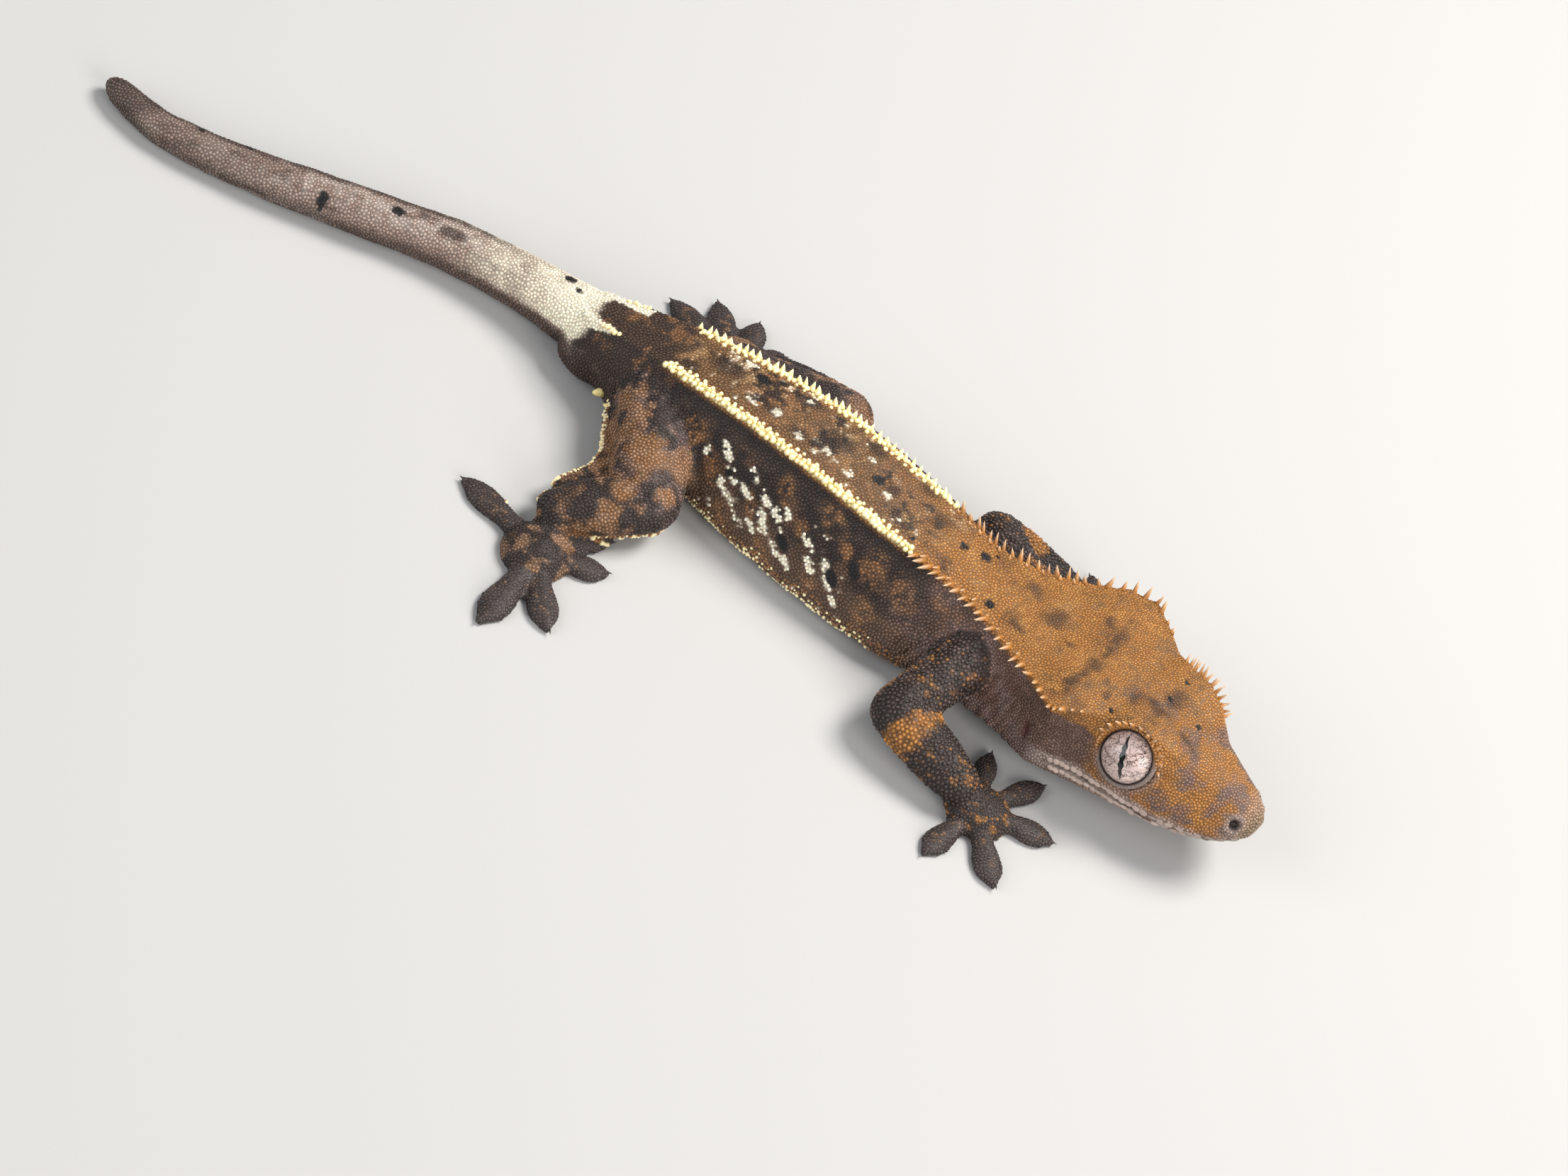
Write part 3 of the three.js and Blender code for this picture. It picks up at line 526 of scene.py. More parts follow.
def headTone(points, at, out, up):
    big, mid, fine = clouds(points, 6, 31), clouds(points, 2.6, 32), clouds(points, 0.9, 33, 2)
    speck = clouds(points, 0.45, 34, 1)
    snout = ebb(at, 9, 16)
    centre = ebb(np.abs(out + 1.0 + mid), 1.0, 3.6) * span(at, 6, 11, 20, 26)
    patch = blots(at + fine * 0.7, up + fine * 0.6, "snout", 0.4) * (0.55 + 0.45 * ramp(speck, -0.4, 0.4))
    top = layered("crown",
                  ("crownLight", ramp(mid + fine * 0.6 + speck * 0.4, -0.2, 1.0) * 0.6),
                  ("crownDark", ramp(big + mid * 0.4 + fine * 0.6, 0.0, 0.9) * 0.75),
                  ("crownGold", ramp(speck + fine * 0.8 - mid * 0.4, 0.2, 1.1) * 0.55),
                  ("umber", ramp(mid * 0.7 - big * 0.6 + fine * 0.7 + speck * 0.3, 0.15, 1.0) * 0.6),
                  ("mauveBrown", centre * ramp(fine + mid * 0.5 + speck * 0.4, -0.7, 0.6) * 0.65),
                  (paint["greyMauve"] * 0.95, ramp(mid + big * 0.6 + fine * 0.3, -0.15, 0.45) * snout * 0.8),
                  ("ochre", ramp(clouds(points, 3.2, 36), 0.2, 0.7) * snout * 0.75),
                  (paint["greyMauve"] * 0.9, patch * 0.8))
    cheek = layered("cheek", ("cheekLight", ramp(fine + speck * 0.8, 0.1, 0.9) * 0.55),
                    ("greyMauve", ebb(up, -4.5, -2.5) * 0.6))
    # the cheeks are dark below a line from the crest's corner to the eye
    line = np.interp(at, [18, 21.5, 24, 29.5, 36], [0.6, 1.2, 2.8, 4.6, 4.2])
    mouth = up - keyed("mouthUp", at)
    lip = ramp(mouth, -2.4, -0.4) * ebb(mouth + fine * 0.3, 0.8, 1.5) * ebb(at, 27, 31)
    jaw = layered("greyMauve", ("paleMauve", ramp(fine, 0, 0.8) * 0.5))
    ear = np.exp(-np.hypot((at - 31.9 - (up + 3) * 0.25) / 0.5, (up + 3) / 1.4) ** 2)
    tone = layered(top,
                   (cheek, ebb(up + mid * 0.25 + fine * 0.15, line - 0.5, line + 0.3) * ramp(at, 19.6, 22.5)),
                   (paint["paleMauve"] * 0.85, ebb(at + mid, 1.0, 4.5) * 0.5),
                   ("snoutTip", ebb(at, 0.2, 2.2) * 0.6),
                   ("paleMauve", lip * 0.8),
                   (jaw, ebb(mouth, -2.2, -0.8) * 0.9),
                   # a thin near-black line along the mouth: painted shade in the groove between the lips
                   ("nearBlack", ebb(np.abs(mouth), 0.05, 0.2) * (at < 26.5) * 0.65),
                   ("earRed", ear * 0.85))
    for s in (1, -1):
        nose, gap = gapTo(points, nostrils[s]), gapTo(points, eyes[s]["centre"])
        away = points - eyes[s]["centre"]
        high = ramp(away @ eyes[s]["up"] - 0.5 * (away @ eyes[s]["ahead"]), -1.5, 1.5)
        # the nostril openings are painted dark as shade in the holes
        tone = layered(tone, ("paleMauve", ebb(nose, 0.9, 1.9) * 0.6), ("nostril", ebb(nose, 0.6, 0.85)),
                       ("ochre", ebb(gap, 4.8, 6.2) * high * 0.7),
                       (paint["cheekLight"] * 1.2, ebb(gap, 4.7, 5.4) * (1 - high) * 0.8),
                       # near-black skin where it meets the eyeball: painted shade in the socket
                       ("nearBlack", ebb(gap, 4.25, 4.5)))
    return tone


legPatches = [(-18.6, -15.6, 9.1, 3.0), (-12.3, -18.5, 8.7, 1.7), (-17.5, -21.5, 7.8, 2.0)]  # place, radius
forearmBands = {"right_forearm": ((28.2, -21.0), (40.2, -22.9)), "left_forearm": ((22.6, 12.6), (36.5, 14.2))}


def limbTone(points, names):
    mid, fine, big = clouds(points, 2.6, 41), clouds(points, 0.9, 42, 2), clouds(points, 5, 43)
    speck = clouds(points, 0.5, 44, 1)
    fore, hind = partOf(names, "front_"), ~partOf(names, "front_")
    upperArm, thigh = partOf(names, "_upper_arm"), partOf(names, "_thigh")
    rust = layered("orangeBrown", ("tan", ramp(fine + speck * 0.6, -0.6, 0.7) * 0.75))
    tone = layered("charcoal",
                   (paint["greyMauve"] * 0.9, ramp(fine + mid * 0.4, -0.3, 0.9) * 0.5 * upperArm),
                   (paint["ochre"] * 0.8, ramp(speck * 0.9 + mid * 0.8, 0.3, 1.1) * 0.75 * fore),
                   (paint["greyMauve"] * 1.1, ramp(mid + fine * 0.5, -0.5, 0.5) * thigh * 0.8),
                   (rust, ramp(big * 0.9 + mid * 0.6 + fine * 0.35, -0.05, 0.5) * hind * 0.85),
                   ("nearBlack", ramp(-big + mid * 0.5, 0.2, 0.8) * hind * 0.75))
    for x, y, z, size in legPatches:
        gap = gapTo(points, (x, y, z)) + (mid + fine) * 0.5
        tone = blend(tone, rust * 1.15, ebb(gap, size * 0.6, size * 1.2) * hind * 0.85)
    for limb, (elbow, wrist) in forearmBands.items():
        run = np.array(wrist) - elbow
        share = ((points[:, :2] - elbow) @ run) / (run @ run) + mid * 0.07
        band = ebb(np.abs(share - 0.26), 0.12, 0.2) * partOf(names, limb)
        tone = blend(tone, paint["ochre"] * 0.95, band * (0.45 + 0.5 * ramp(speck + fine * 0.5, -0.5, 0.3)))
    foot = partOf(names, "_hand", "_foot")
    tone = layered(tone, (paint["tan"] * 0.85, ramp(mid + fine * 0.6, 0.1, 0.9) * foot * hind * 0.75),
                   (paint["ochre"] * 0.8, ramp(speck + mid * 0.4 + fine * 0.4, 0.05, 0.8) * foot * fore * 0.8))
    toeSpecks = ramp(fine + speck * 0.7 + mid * 0.4, 0.3, 1.1) * ramp(points[:, 2], 0.9, 1.9)
    toe = layered("toeGrey", ("charcoal", ramp(mid + fine * 0.5, -0.2, 0.8) * 0.7),
                  (paint["tan"] * 0.8, toeSpecks * 0.7))
    return np.where(partOf(names, "_toe_")[:, None], toe, tone)


def markings(points, names):
    at, out, up = bodyPlace(points)
    limb = partOf(names, "front_", "hind_")
    tone = blend(bodyTone(points, at, out, up), headTone(points, at, out, up), np.where(limb, 0, ebb(at, 33, 37)))
    sway = clouds(points, 1.5, 51, 2) * 0.6
    return layered(np.where(limb[:, None], limbTone(points, names), tone),
                   ("nearBlack", blots(at + sway, out + sway, "smudge", 0.7) * (~limb & (up > 1.5)) * 0.66),
                   ("black", blots(at, out, "black", 0.15) * (~limb & (up > 0))))


def newMaterial(name):
    material = bpy.data.materials.new(name)
    material.use_nodes = True
    tree = material.node_tree
    return material, tree, tree.nodes["Principled BSDF"]


def feed(tree, made, inputs):
    for key, value in inputs.items():
        if isinstance(value, bpy.types.NodeSocket):
            tree.links.new(value, made.inputs[key])
        else:
            made.inputs[key].default_value = value


def node(tree, kind, inputs=None, **values):
    made = tree.nodes.new(kind)
    for key, value in values.items():
        setattr(made, key, value)
    feed(tree, made, inputs or {})
    return made


def mathNode(tree, operation, a, b=0.0):
    return node(tree, "ShaderNodeMath", {0: a, 1: b}, operation=operation).outputs[0]


def vectorNode(tree, operation, a, b):
    second = "Scale" if operation == "SCALE" else 1
    return node(tree, "ShaderNodeVectorMath", {0: a, second: b}, operation=operation).outputs[0]


def mixColour(tree, share, *colours):
    first, second = (c if isinstance(c, bpy.types.NodeSocket) else (*c, 1) for c in colours)
    return node(tree, "ShaderNodeMix", {0: share, 6: first, 7: second}, data_type="RGBA").outputs[2]


finishes = {
    "skin between the scales": {"cell": 0.3, "bump": 0.06, "roughness": 0.55, "specular": 0.4, "darkest": 0.66},
    "scales": {"cell": 0, "bump": 0.02, "roughness": 0.5, "specular": 0.5, "darkest": 0.8},
    "spines": {"cell": 0, "bump": 0.02, "roughness": 0.42, "specular": 0.5, "darkest": 0.8},
}


def tonedSurface(name):
    finish = finishes[name]
    material, tree, surface = newMaterial(name)
    place = node(tree, "ShaderNodeTexCoord").outputs["Object"]
    tone = node(tree, "ShaderNodeAttribute", attribute_name="tone").outputs["Color"]
    if finish["cell"]:
        scale = 1 / (finish["cell"] * mm)
        cell = node(tree, "ShaderNodeTexVoronoi", {"Vector": place, "Scale": scale, "Randomness": 0.85})
        dome = {"Value": cell.outputs["Distance"], "From Min": 0.08, "From Max": 0.62, "To Min": 1.0, "To Max": 0.0}
        relief = node(tree, "ShaderNodeMapRange", dome, interpolation_type="SMOOTHSTEP").outputs[0]
    else:
        relief = node(tree, "ShaderNodeTexNoise", {"Vector": place, "Scale": 4200, "Detail": 3}).outputs[0]
    # the colour is darkened where the relief is low: on the skin's domed cells this is painted shade in the crevices
    # between them, on scales and spines random mottling
    cellShadeAndMottle = mathNode(tree, "ADD", mathNode(tree, "MULTIPLY", relief, 0.4), finish["darkest"])
    bump = node(tree, "ShaderNodeBump", {"Height": relief, "Distance": finish["bump"] * mm, "Strength": 1.0})
    feed(tree, surface, {"Base Color": vectorNode(tree, "SCALE", tone, cellShadeAndMottle), "Normal": bump.outputs[0],
                         "Roughness": finish["roughness"], "Specular IOR Level": finish["specular"]})
    return material


skinMaterial, scaleMaterial, spineMaterial = (tonedSurface(name) for name in finishes)


def addTone(mesh, tone):
    layer = mesh.color_attributes.new("tone", "FLOAT_COLOR", "POINT")
    layer.data.foreach_set("color", np.column_stack([np.clip(tone, 0, 1), np.ones(len(tone))]).ravel())



def smoothShaded(mesh):
    mesh.polygons.foreach_set("use_smooth", np.ones(len(mesh.polygons), bool))
    mesh.update()


# painted shade for the gaps between the scales: every tone made darker, dark tones the most
def gapShadeTone(tone):
    return tone * (0.62 + 0.3 * tone.mean(axis=1))[:, None]


# the skin shows mostly in the gaps between the scales, so the whole skin carries the painted gap shade
addTone(skin.data, gapShadeTone(markings(points, names)))
skin.data.materials.append(skinMaterial)
smoothShaded(skin.data)
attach(skin, "root")
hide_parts(*fleshNames)
skinTree = BVHTree.FromPolygons([Vector(p) for p in points], [list(p.vertices) for p in skin.data.polygons])
firstCorner = np.empty(len(skin.data.polygons), np.int64)
skin.data.polygons.foreach_get("loop_start", firstCorner)
cornerVertex = np.empty(len(skin.data.loops), np.int64)
skin.data.loops.foreach_get("vertex_index", cornerVertex)
faceRegion = region[cornerVertex[firstCorner]]
print("skin painted")


def onSkin(places):
    spotsOn, normalsOn, regionsOn = [], [], []
    for p in places:
        hit, normal, index = skinTree.find_nearest(Vector(p))[:3]
        spotsOn.append(hit)
        normalsOn.append(normal)
        regionsOn.append(faceRegion[index])
    return np.array(spotsOn), np.array(normalsOn), nodeOf[np.array(regionsOn)]


def backward(places):
    return along(spineBack, np.clip(bodyPlace(places)[0], 0, 186))


# the unwrap that every planted piece shares: the body opened along its belly, and one strip for each limb
limbCharts = {"front_right": ((31, -7), (44, -22.6)), "front_left": ((30, 6.5), (40.4, 14.2)),
              "hind_right": ((-24, -3.5), (-21.2, -33)), "hind_left": ((-22, 3.5), (-20.6, 14))}


def skinUnwrap(places, names):
    at, out, up = bodyPlace(places)
    around = np.arctan2(out, up) / (2 * math.pi) + 0.5
    chart = np.column_stack([0.02 + 0.96 * np.clip(at / 186, 0, 1), 0.02 + 0.56 * around])
    for column, (limb, (root, tip)) in enumerate(limbCharts.items()):
        run = np.array(tip) - np.array(root)
        length = math.hypot(*run)
        away = places[:, :2] - root
        t = (away @ run) / length
        beside = (away[:, 0] * run[1] - away[:, 1] * run[0]) / length
        turn = np.arctan2(beside, places[:, 2] - 3) / (2 * math.pi) + 0.5
        t = np.clip((t + 15) / (length + 30), 0, 1)
        strip = np.column_stack([0.02 + column * 0.245 + 0.22 * t, 0.62 + 0.36 * turn])
        chart = np.where(np.char.startswith(names, limb)[:, None], strip, chart)
    return chart


def meshOfForms(name, vertices, polygons, each, tones, chart, material):
    count = len(vertices) // each
    mesh = bpy.data.meshes.new(name)
    vertices[:, 2] = np.maximum(vertices[:, 2], 0.01)
    corners = np.concatenate(polygons)
    sizes = np.tile([len(p) for p in polygons], count)
    loops = (corners[None, :] + each * np.arange(count)[:, None]).ravel()
    mesh.vertices.add(len(vertices))
    mesh.vertices.foreach_set("co", (vertices * mm).ravel())
    mesh.loops.add(len(loops))
    mesh.loops.foreach_set("vertex_index", loops)
    mesh.polygons.add(len(sizes))
    mesh.polygons.foreach_set("loop_start", np.concatenate([[0], np.cumsum(sizes)[:-1]]))
    mesh.update(calc_edges=True)
    addTone(mesh, tones)
    layer = mesh.uv_layers.new(name="OFBake")
    layer.data.foreach_set("uv", chart[loops].ravel())
    mesh.materials.append(material)
    smoothShaded(mesh)
    piece = bpy.data.objects.new(name, mesh)
    bpy.context.scene.collection.objects.link(piece)
    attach(piece, "root")
    return piece


def ringForm(sides, rings, bend=0.0, pointed=True):
    form = []
    for height, radius in rings:
        for i in range(sides):
            a = i / sides * 2 * math.pi
            form.append((math.cos(a) * radius + bend * height ** 2, math.sin(a) * radius, height))
    polygons = []
    for k in range(len(rings) - 1):
        for i in range(sides):
            j = (i + 1) % sides
            polygons.append([k * sides + i, k * sides + j, (k + 1) * sides + j, (k + 1) * sides + i])
    top = (len(rings) - 1) * sides
    if pointed:
        form.append((bend, 0, 1.0))
        polygons += [[top + i, top + (i + 1) % sides, len(form) - 1] for i in range(sides)]
    else:
        polygons.append([top + i for i in range(sides)])
    polygons.append([sides - 1 - i for i in range(sides)])
    return np.array(form), polygons


scaleForm = ringForm(6, [(0.0, 1.0), (1.0, 0.6)], pointed=False)
spineForm = ringForm(7, [(0.0, 1.0), (0.3, 0.8), (0.6, 0.5), (0.85, 0.2)], bend=0.2)
beadForm = ringForm(8, [(0.0, 1.0), (0.35, 0.98), (0.7, 0.72), (0.92, 0.35)])
plateForm = ringForm(8, [(0.0, 1.0), (0.6, 0.9), (1.0, 0.6)], pointed=False)


def plant(name, form, places, names, aims, leans, lengths, widths, breadths, tones, tips, material, sink=0.15):
    shape, polygons = form
    aims = aims / np.linalg.norm(aims, axis=1)[:, None]
    across = leans - aims * (leans * aims).sum(axis=1)[:, None]
    across /= np.linalg.norm(across, axis=1)[:, None] + 1e-9
    third = np.cross(aims, across)
    x = shape[:, 0][None, :, None] * widths[:, None, None]
    y = shape[:, 1][None, :, None] * breadths[:, None, None]
    z = (shape[:, 2][None, :, None] - sink) * lengths[:, None, None]
    vertices = places[:, None, :] + across[:, None, :] * x + third[:, None, :] * y + aims[:, None, :] * z
    fade = ramp(np.clip(shape[:, 2], 0, 1), 0.3, 1.0)[None, :, None]
    tone = tones[:, None, :] * (1 - fade) + tips[:, None, :] * fade
    chart = skinUnwrap(places, names)[:, None, :] + shape[None, :, :2] * 0.0015
    return meshOfForms(name, vertices.reshape(-1, 3), polygons, len(shape), tone.reshape(-1, 3),
                       chart.reshape(-1, 2), material)


# granular scales all over, packed by a scatter with a least distance
scaleSizes = {
    "head": {"gap": 0.345, "height": 0.085}, "body": {"gap": 0.4, "height": 0.11},
    "arms": {"gap": 0.50, "height": 0.2}, "legs": {"gap": 0.42, "height": 0.14}, "feet": {"gap": 0.38, "height": 0.12},
}


def scatterGroup():
    group = bpy.data.node_groups.new("scatter", "GeometryNodeTree")
    group.interface.new_socket("Geometry", in_out="INPUT", socket_type="NodeSocketGeometry")
    group.interface.new_socket("Geometry", in_out="OUTPUT", socket_type="NodeSocketGeometry")
    entry = node(group, "NodeGroupInput")
    keep = node(group, "GeometryNodeInputNamedAttribute", {"Name": "keep"})
    spread = node(group, "GeometryNodeDistributePointsOnFaces", distribute_method="POISSON")
    feed(group, spread, {"Mesh": entry.outputs[0], "Density Factor": keep.outputs[0]})
    loose = node(group, "GeometryNodePointsToVertices", {0: spread.outputs["Points"]})
    node(group, "NodeGroupOutput", {0: loose.outputs[0]})
    return group, spread


scatterTree, scatterSpread = scatterGroup()


def scatterPoints(keep, gap, seed):
    clearSelection()
    carrier = bpy.data.objects.new("carrier", skin.data.copy())
    bpy.context.scene.collection.objects.link(carrier)
    carrier.data.attributes.new("keep", "FLOAT", "POINT").data.foreach_set("value", keep)
    scatterSpread.inputs["Distance Min"].default_value = gap * mm
    scatterSpread.inputs["Density Max"].default_value = 3.5 / (gap * mm) ** 2
    scatterSpread.inputs["Seed"].default_value = seed
    modifier = carrier.modifiers.new("scatter", "NODES")
    modifier.node_group = scatterTree
    bpy.context.view_layer.objects.active = carrier
    bpy.ops.object.modifier_apply(modifier=modifier.name)
    found = meshArrays(carrier.data)[0]
    bpy.data.objects.remove(carrier)
    return found


def evenOut(places, gap, rounds):
    for i in range(rounds):
        tree = KDTree(len(places))
        for index, p in enumerate(places):
            tree.insert(p, index)
        tree.balance()
        near = np.array([[n[1] for n in tree.find_n(p, 7)] for p in places])[:, 1:]
        away = places[:, None, :] - places[near]
        distance = np.linalg.norm(away, axis=2)[:, :, None] + 1e-6
        places = places + (away / distance * np.clip(1.28 * gap - distance, 0, None)).sum(axis=1) * 0.28
    return places


at, out, up = bodyPlace(points)
normals = meshNormals(skin.data)
nearEye = np.min([gapTo(points, eyes[side]["centre"]) for side in (1, -1)], axis=0)
nearNostril = np.min([gapTo(points, nostrils[side]) for side in (1, -1)], axis=0)
lipZone = isHead & (np.abs(up - keyed("mouthUp", at)) < 0.95) & (at < 26) & (at > 0.6)
below = ((normals[:, 2] < -0.5) & (points[:, 2] < 3.2)) | (points[:, 2] < 0.12)
bare = (nearEye < 4.5) | (nearNostril < 0.85) | lipZone | below
isArm = partOf(names, "front_")
zones = {"head": ~isLimb & (at < 42), "body": ~isLimb & (at >= 42), "arms": isArm & ~isToe & ~isFoot,
         "legs": isLimb & ~isArm & ~isToe & ~isFoot, "feet": isToe | isFoot}
scalesInPiece = 9800


def plantScales(name, gap, height, seed):
    places = scatterPoints((zones[name] & ~bare).astype(float), gap, seed)
    places, normals, rootNames = onSkin(evenOut(places, gap, 2))
    order = np.argsort(places[:, 0], kind="stable")
    places, normals, rootNames = places[order], normals[order], rootNames[order]
    count = len(places)
    tones = markings(places, rootNames) * dice.uniform(0.86, 1.12, count)[:, None]
    leans = backward(places)
    size = gap * dice.uniform(0.57, 0.67, count)
    heights = height * dice.uniform(0.8, 1.25, count) * np.where(partOf(rootNames, "_toe_"), 0.6, 1)
    aims = normals + leans * 0.25 + dice.normal(0, 0.06, (count, 3))
    # each scale fades from a base darkened by the painted gap shade to a top painted 12% lighter as a highlight
    for i, part in enumerate(np.array_split(np.arange(count), math.ceil(count / scalesInPiece))):
        plant("scales_" + name + "_" + str(i + 1), scaleForm, places[part], rootNames[part], aims[part],
              leans[part], heights[part], size[part], size[part], gapShadeTone(tones[part]), tones[part] * 1.12,
              scaleMaterial, sink=0.3)
    print("scales on the", name + ",", count)


for seed, (name, scale) in enumerate(scaleSizes.items(), 1):
    plantScales(name, scale["gap"], scale["height"], seed)

# spines and beads along the crests, round the eyes and along the edges of body and legs
def plantRows(name, form, rows, onPlace=False):
    places, aims, lengths, widths, tones, tips = (np.array(column) for column in zip(*rows))
    rooted, normals, rootNames = onSkin(places)
    places = places if onPlace else rooted
    plant(name, form, places, rootNames, aims, backward(places), lengths, widths, widths, tones, tips, spineMaterial)


crests = {
    # rows: from, to, step, length, width, out from the ridge, lean outwards, lean backwards
    "crest_spines": {"form": spineForm, "sway": 0.1, "rows": [
        (25.5, 34.5, 1.25, 1.75, 0.42, 0.05, 0.9, 0.0), (35.4, 56.5, 1.3, 1.7, 0.44, 0.05, 0.8, 0.45),
        (38.0, 57.0, 2.1, 0.7, 0.34, -0.6, 0.4, 0.3)]},
    "crest_beads": {"form": beadForm, "sway": 0.2, "rows": [
        (56.9, 98.6, 0.8, 0.75, 0.43, 0.3, 0.6, 0.1), (57.2, 98.2, 0.68, 0.5, 0.38, -0.25, 0.1, 0.0),
        (60.2, 97.8, 1.15, 0.4, 0.32, -0.8, 0.1, 0.0), (105.6, 109.0, 0.7, 0.45, 0.4, 0.1, 0.3, 0.1)]},
    "crest_cones": {"form": spineForm, "sway": 0.1, "rows": [(57.2, 98.4, 1.1, 1.1, 0.48, 0.15, 0.55, 0.15)]},
}


def crestRow(name, side, start, end, step, length, width, offset, outLean, backLean):
    rows = []
    spines = name == "crest_spines"
    sway = crests[name]["sway"]
    at = start
    while at < end:
        a = at + random.uniform(-0.12, 0.12)
        out = side * (float(keyed("ridgeOut", a)) + offset + random.uniform(-sway, sway))
        aim = (along(spineLeft, a) * side * outLean + along(spineUp, a) * 0.62
               + along(spineBack, a) * (backLean + random.uniform(-0.2, 0.2)))
        size = random.uniform(0.7, 1.25)
        if spines:
            size *= 1.25 if abs(a - 29.5) < 1.0 else 0.6 if a < 27 else 1.0
            size *= 1 if side > 0 or a > 35 else 0.75
            tone, tip = paint["crown"] * random.uniform(0.8, 1.1), paint["spineTip"]
        else:
            tone, tip = paint["cream"] * random.uniform(0.85, 1.05), paint["beadTip"]
        if spines and side < 0 and a > 36:
            aim = aim - along(spineLeft, a) * 0.5 - along(spineUp, a) * 0.25
            size *= 1.15 + 0.3 * float(ramp(a, 44, 52))
        place = placeAt(a, out, float(keyed("ridgeUp", a)) + 0.1)[0]
        rows.append((place, aim, length * size, width * random.uniform(0.75, 1.2), tone, tip))
        at += step * random.uniform(0.8, 1.2)
    return rows


for name, crest in crests.items():
    planted = []
    for side in (1, -1):
        for row in crest["rows"]:
            # cones stand on the left side only, in place of the outer beads
            if side > 0 and name == "crest_beads" and row[5] > 0.2 or side < 0 and name == "crest_cones":
                continue
            planted += crestRow(name, side, *row)
    plantRows(name, crest["form"], planted)

fringe = {
    # angles round the eye in degrees
    "eye_lashes": {"from": 15, "to": 165, "count": 12, "length": 2.0, "width": 0.31, "reach": 4.4},
    "eye_edging": {"from": -14, "to": 200, "count": 34, "length": 0.5, "width": 0.19, "reach": 4.1},
}
browLashes = {"from": 13.4, "step": 0.92, "count": 10, "length": (1.9, 2.5), "width": 0.29}


def lashRow(eye, row):
    rows = []
    for i in range(row["count"]):
        share = (i + random.uniform(-0.2, 0.2)) / (row["count"] - 1)
        a = math.radians(row["from"] + (row["to"] - row["from"]) * share)
        radial = eye["ahead"] * math.cos(a) + eye["up"] * math.sin(a)
        start = eye["centre"] + radial * row["reach"] + eye["look"] * 12
        hit, normal = skinTree.ray_cast(Vector(start), Vector(-eye["look"]))[:2]
        aim = np.array(normal) * 0.7 + radial * 0.7 + eye["look"] * 0.25 - eye["ahead"] * 0.1
        bow = 0.55 + 0.5 * math.sin(math.pi * min(max(share, 0), 1))
        length = row["length"] * bow * random.uniform(0.85, 1.15)
        width = row["width"] * random.uniform(0.9, 1.15)
        rows.append((np.array(hit), aim, length, width, paint["ochre"] * random.uniform(0.85, 1.1), paint["lashTip"]))
    return rows


def browRow(row):
    rows = []
    for i in range(row["count"]):
        a = row["from"] + i * row["step"] + random.uniform(-0.15, 0.15)
        place = placeAt(a, float(keyed("ridgeOut", a)) + 0.35, float(keyed("ridgeUp", a)) - 0.9)[0]
        aim = along(spineLeft, a) * 0.95 + along(spineUp, a) * 0.35 - along(spineBack, a) * (0.5 - 0.08 * i)
        rows.append((place, aim, random.uniform(*row["length"]), row["width"], paint["ochre"], paint["lashTip"]))
    return rows


for name, row in fringe.items():
    planted = lashRow(eyes[1], row) + lashRow(eyes[-1], row)
    if name == "eye_lashes":
        planted += browRow(browLashes)
    plantRows(name, spineForm, planted, onPlace=True)

edgeLines = {
    # lines of beads in millimetres
    "groin": {"line": [(-28.4, -7.3, 3.6), (-26.4, -11.1, 3.6), (-24.9, -14.8, 3.6), (-24.3, -18.1, 3.6),
                       (-26.2, -24.0, 3.4), (-28.2, -28.6, 2.6)],
              "step": 0.52, "radius": 0.33, "cream": 0.95, "spread": 0.2},
    "shin": {"line": [(-17.2, -26.3, 1.8), (-14.6, -25.3, 1.8), (-12.2, -23.9, 1.9), (-10.6, -22.0, 2.0),
                      (-9.8, -19.4, 2.2)],
             "step": 0.55, "radius": 0.38, "cream": 0.8, "spread": 0.25},
}
bellyEdge = {"from": 50, "to": 93, "step": 0.42, "radius": 0.3, "up": -5.7, "inward": 0.93, "cream": (0.95, 0.5, 0.2)}
spurs = {"at": [(-30.6, -8.6, 3.2), (-29.4, -8.7, 3.0), (-30.6, 8.6, 3.2)], "size": [0.64, 0.36, 0.64]}


def edgeBeads(edge):
    rows = []
    line = np.array(edge["line"])
    run = np.concatenate([[0], np.cumsum(np.linalg.norm(np.diff(line, axis=0), axis=1))])
    for t in np.arange(0, run[-1], edge["step"]):
        for row in (0, 1):
            spot = np.array([np.interp(t + row * 0.25, run, line[:, k]) for k in range(3)])
            spot[2] += random.uniform(-1, 1) * edge["spread"] + row * 0.5
            radius = edge["radius"] * random.uniform(0.75, 1.15) * (0.8 if row else 1)
            rows.append((spot, radius, random.random() < edge["cream"] * (0.5 if row else 1)))
    return rows


def bellyBeads(side, edge):
    rows = []
    for at in np.arange(edge["from"], edge["to"], edge["step"]):
        for row in range(3):
            a = at + random.uniform(-0.2, 0.2)
            rise = edge["up"] + row * 0.5 + random.uniform(-0.15, 0.15) + 0.3 * math.sin(at * 0.7)
            spot = placeAt(a, side * float(keyed("sideOut", a)) * edge["inward"], rise)[0]
            radius = edge["radius"] * random.uniform(0.6, 1.2) * (1.0 - 0.15 * row)
            rows.append((spot, radius, random.random() < edge["cream"][row] * float(ramp(at, 52, 60))))
    return rows


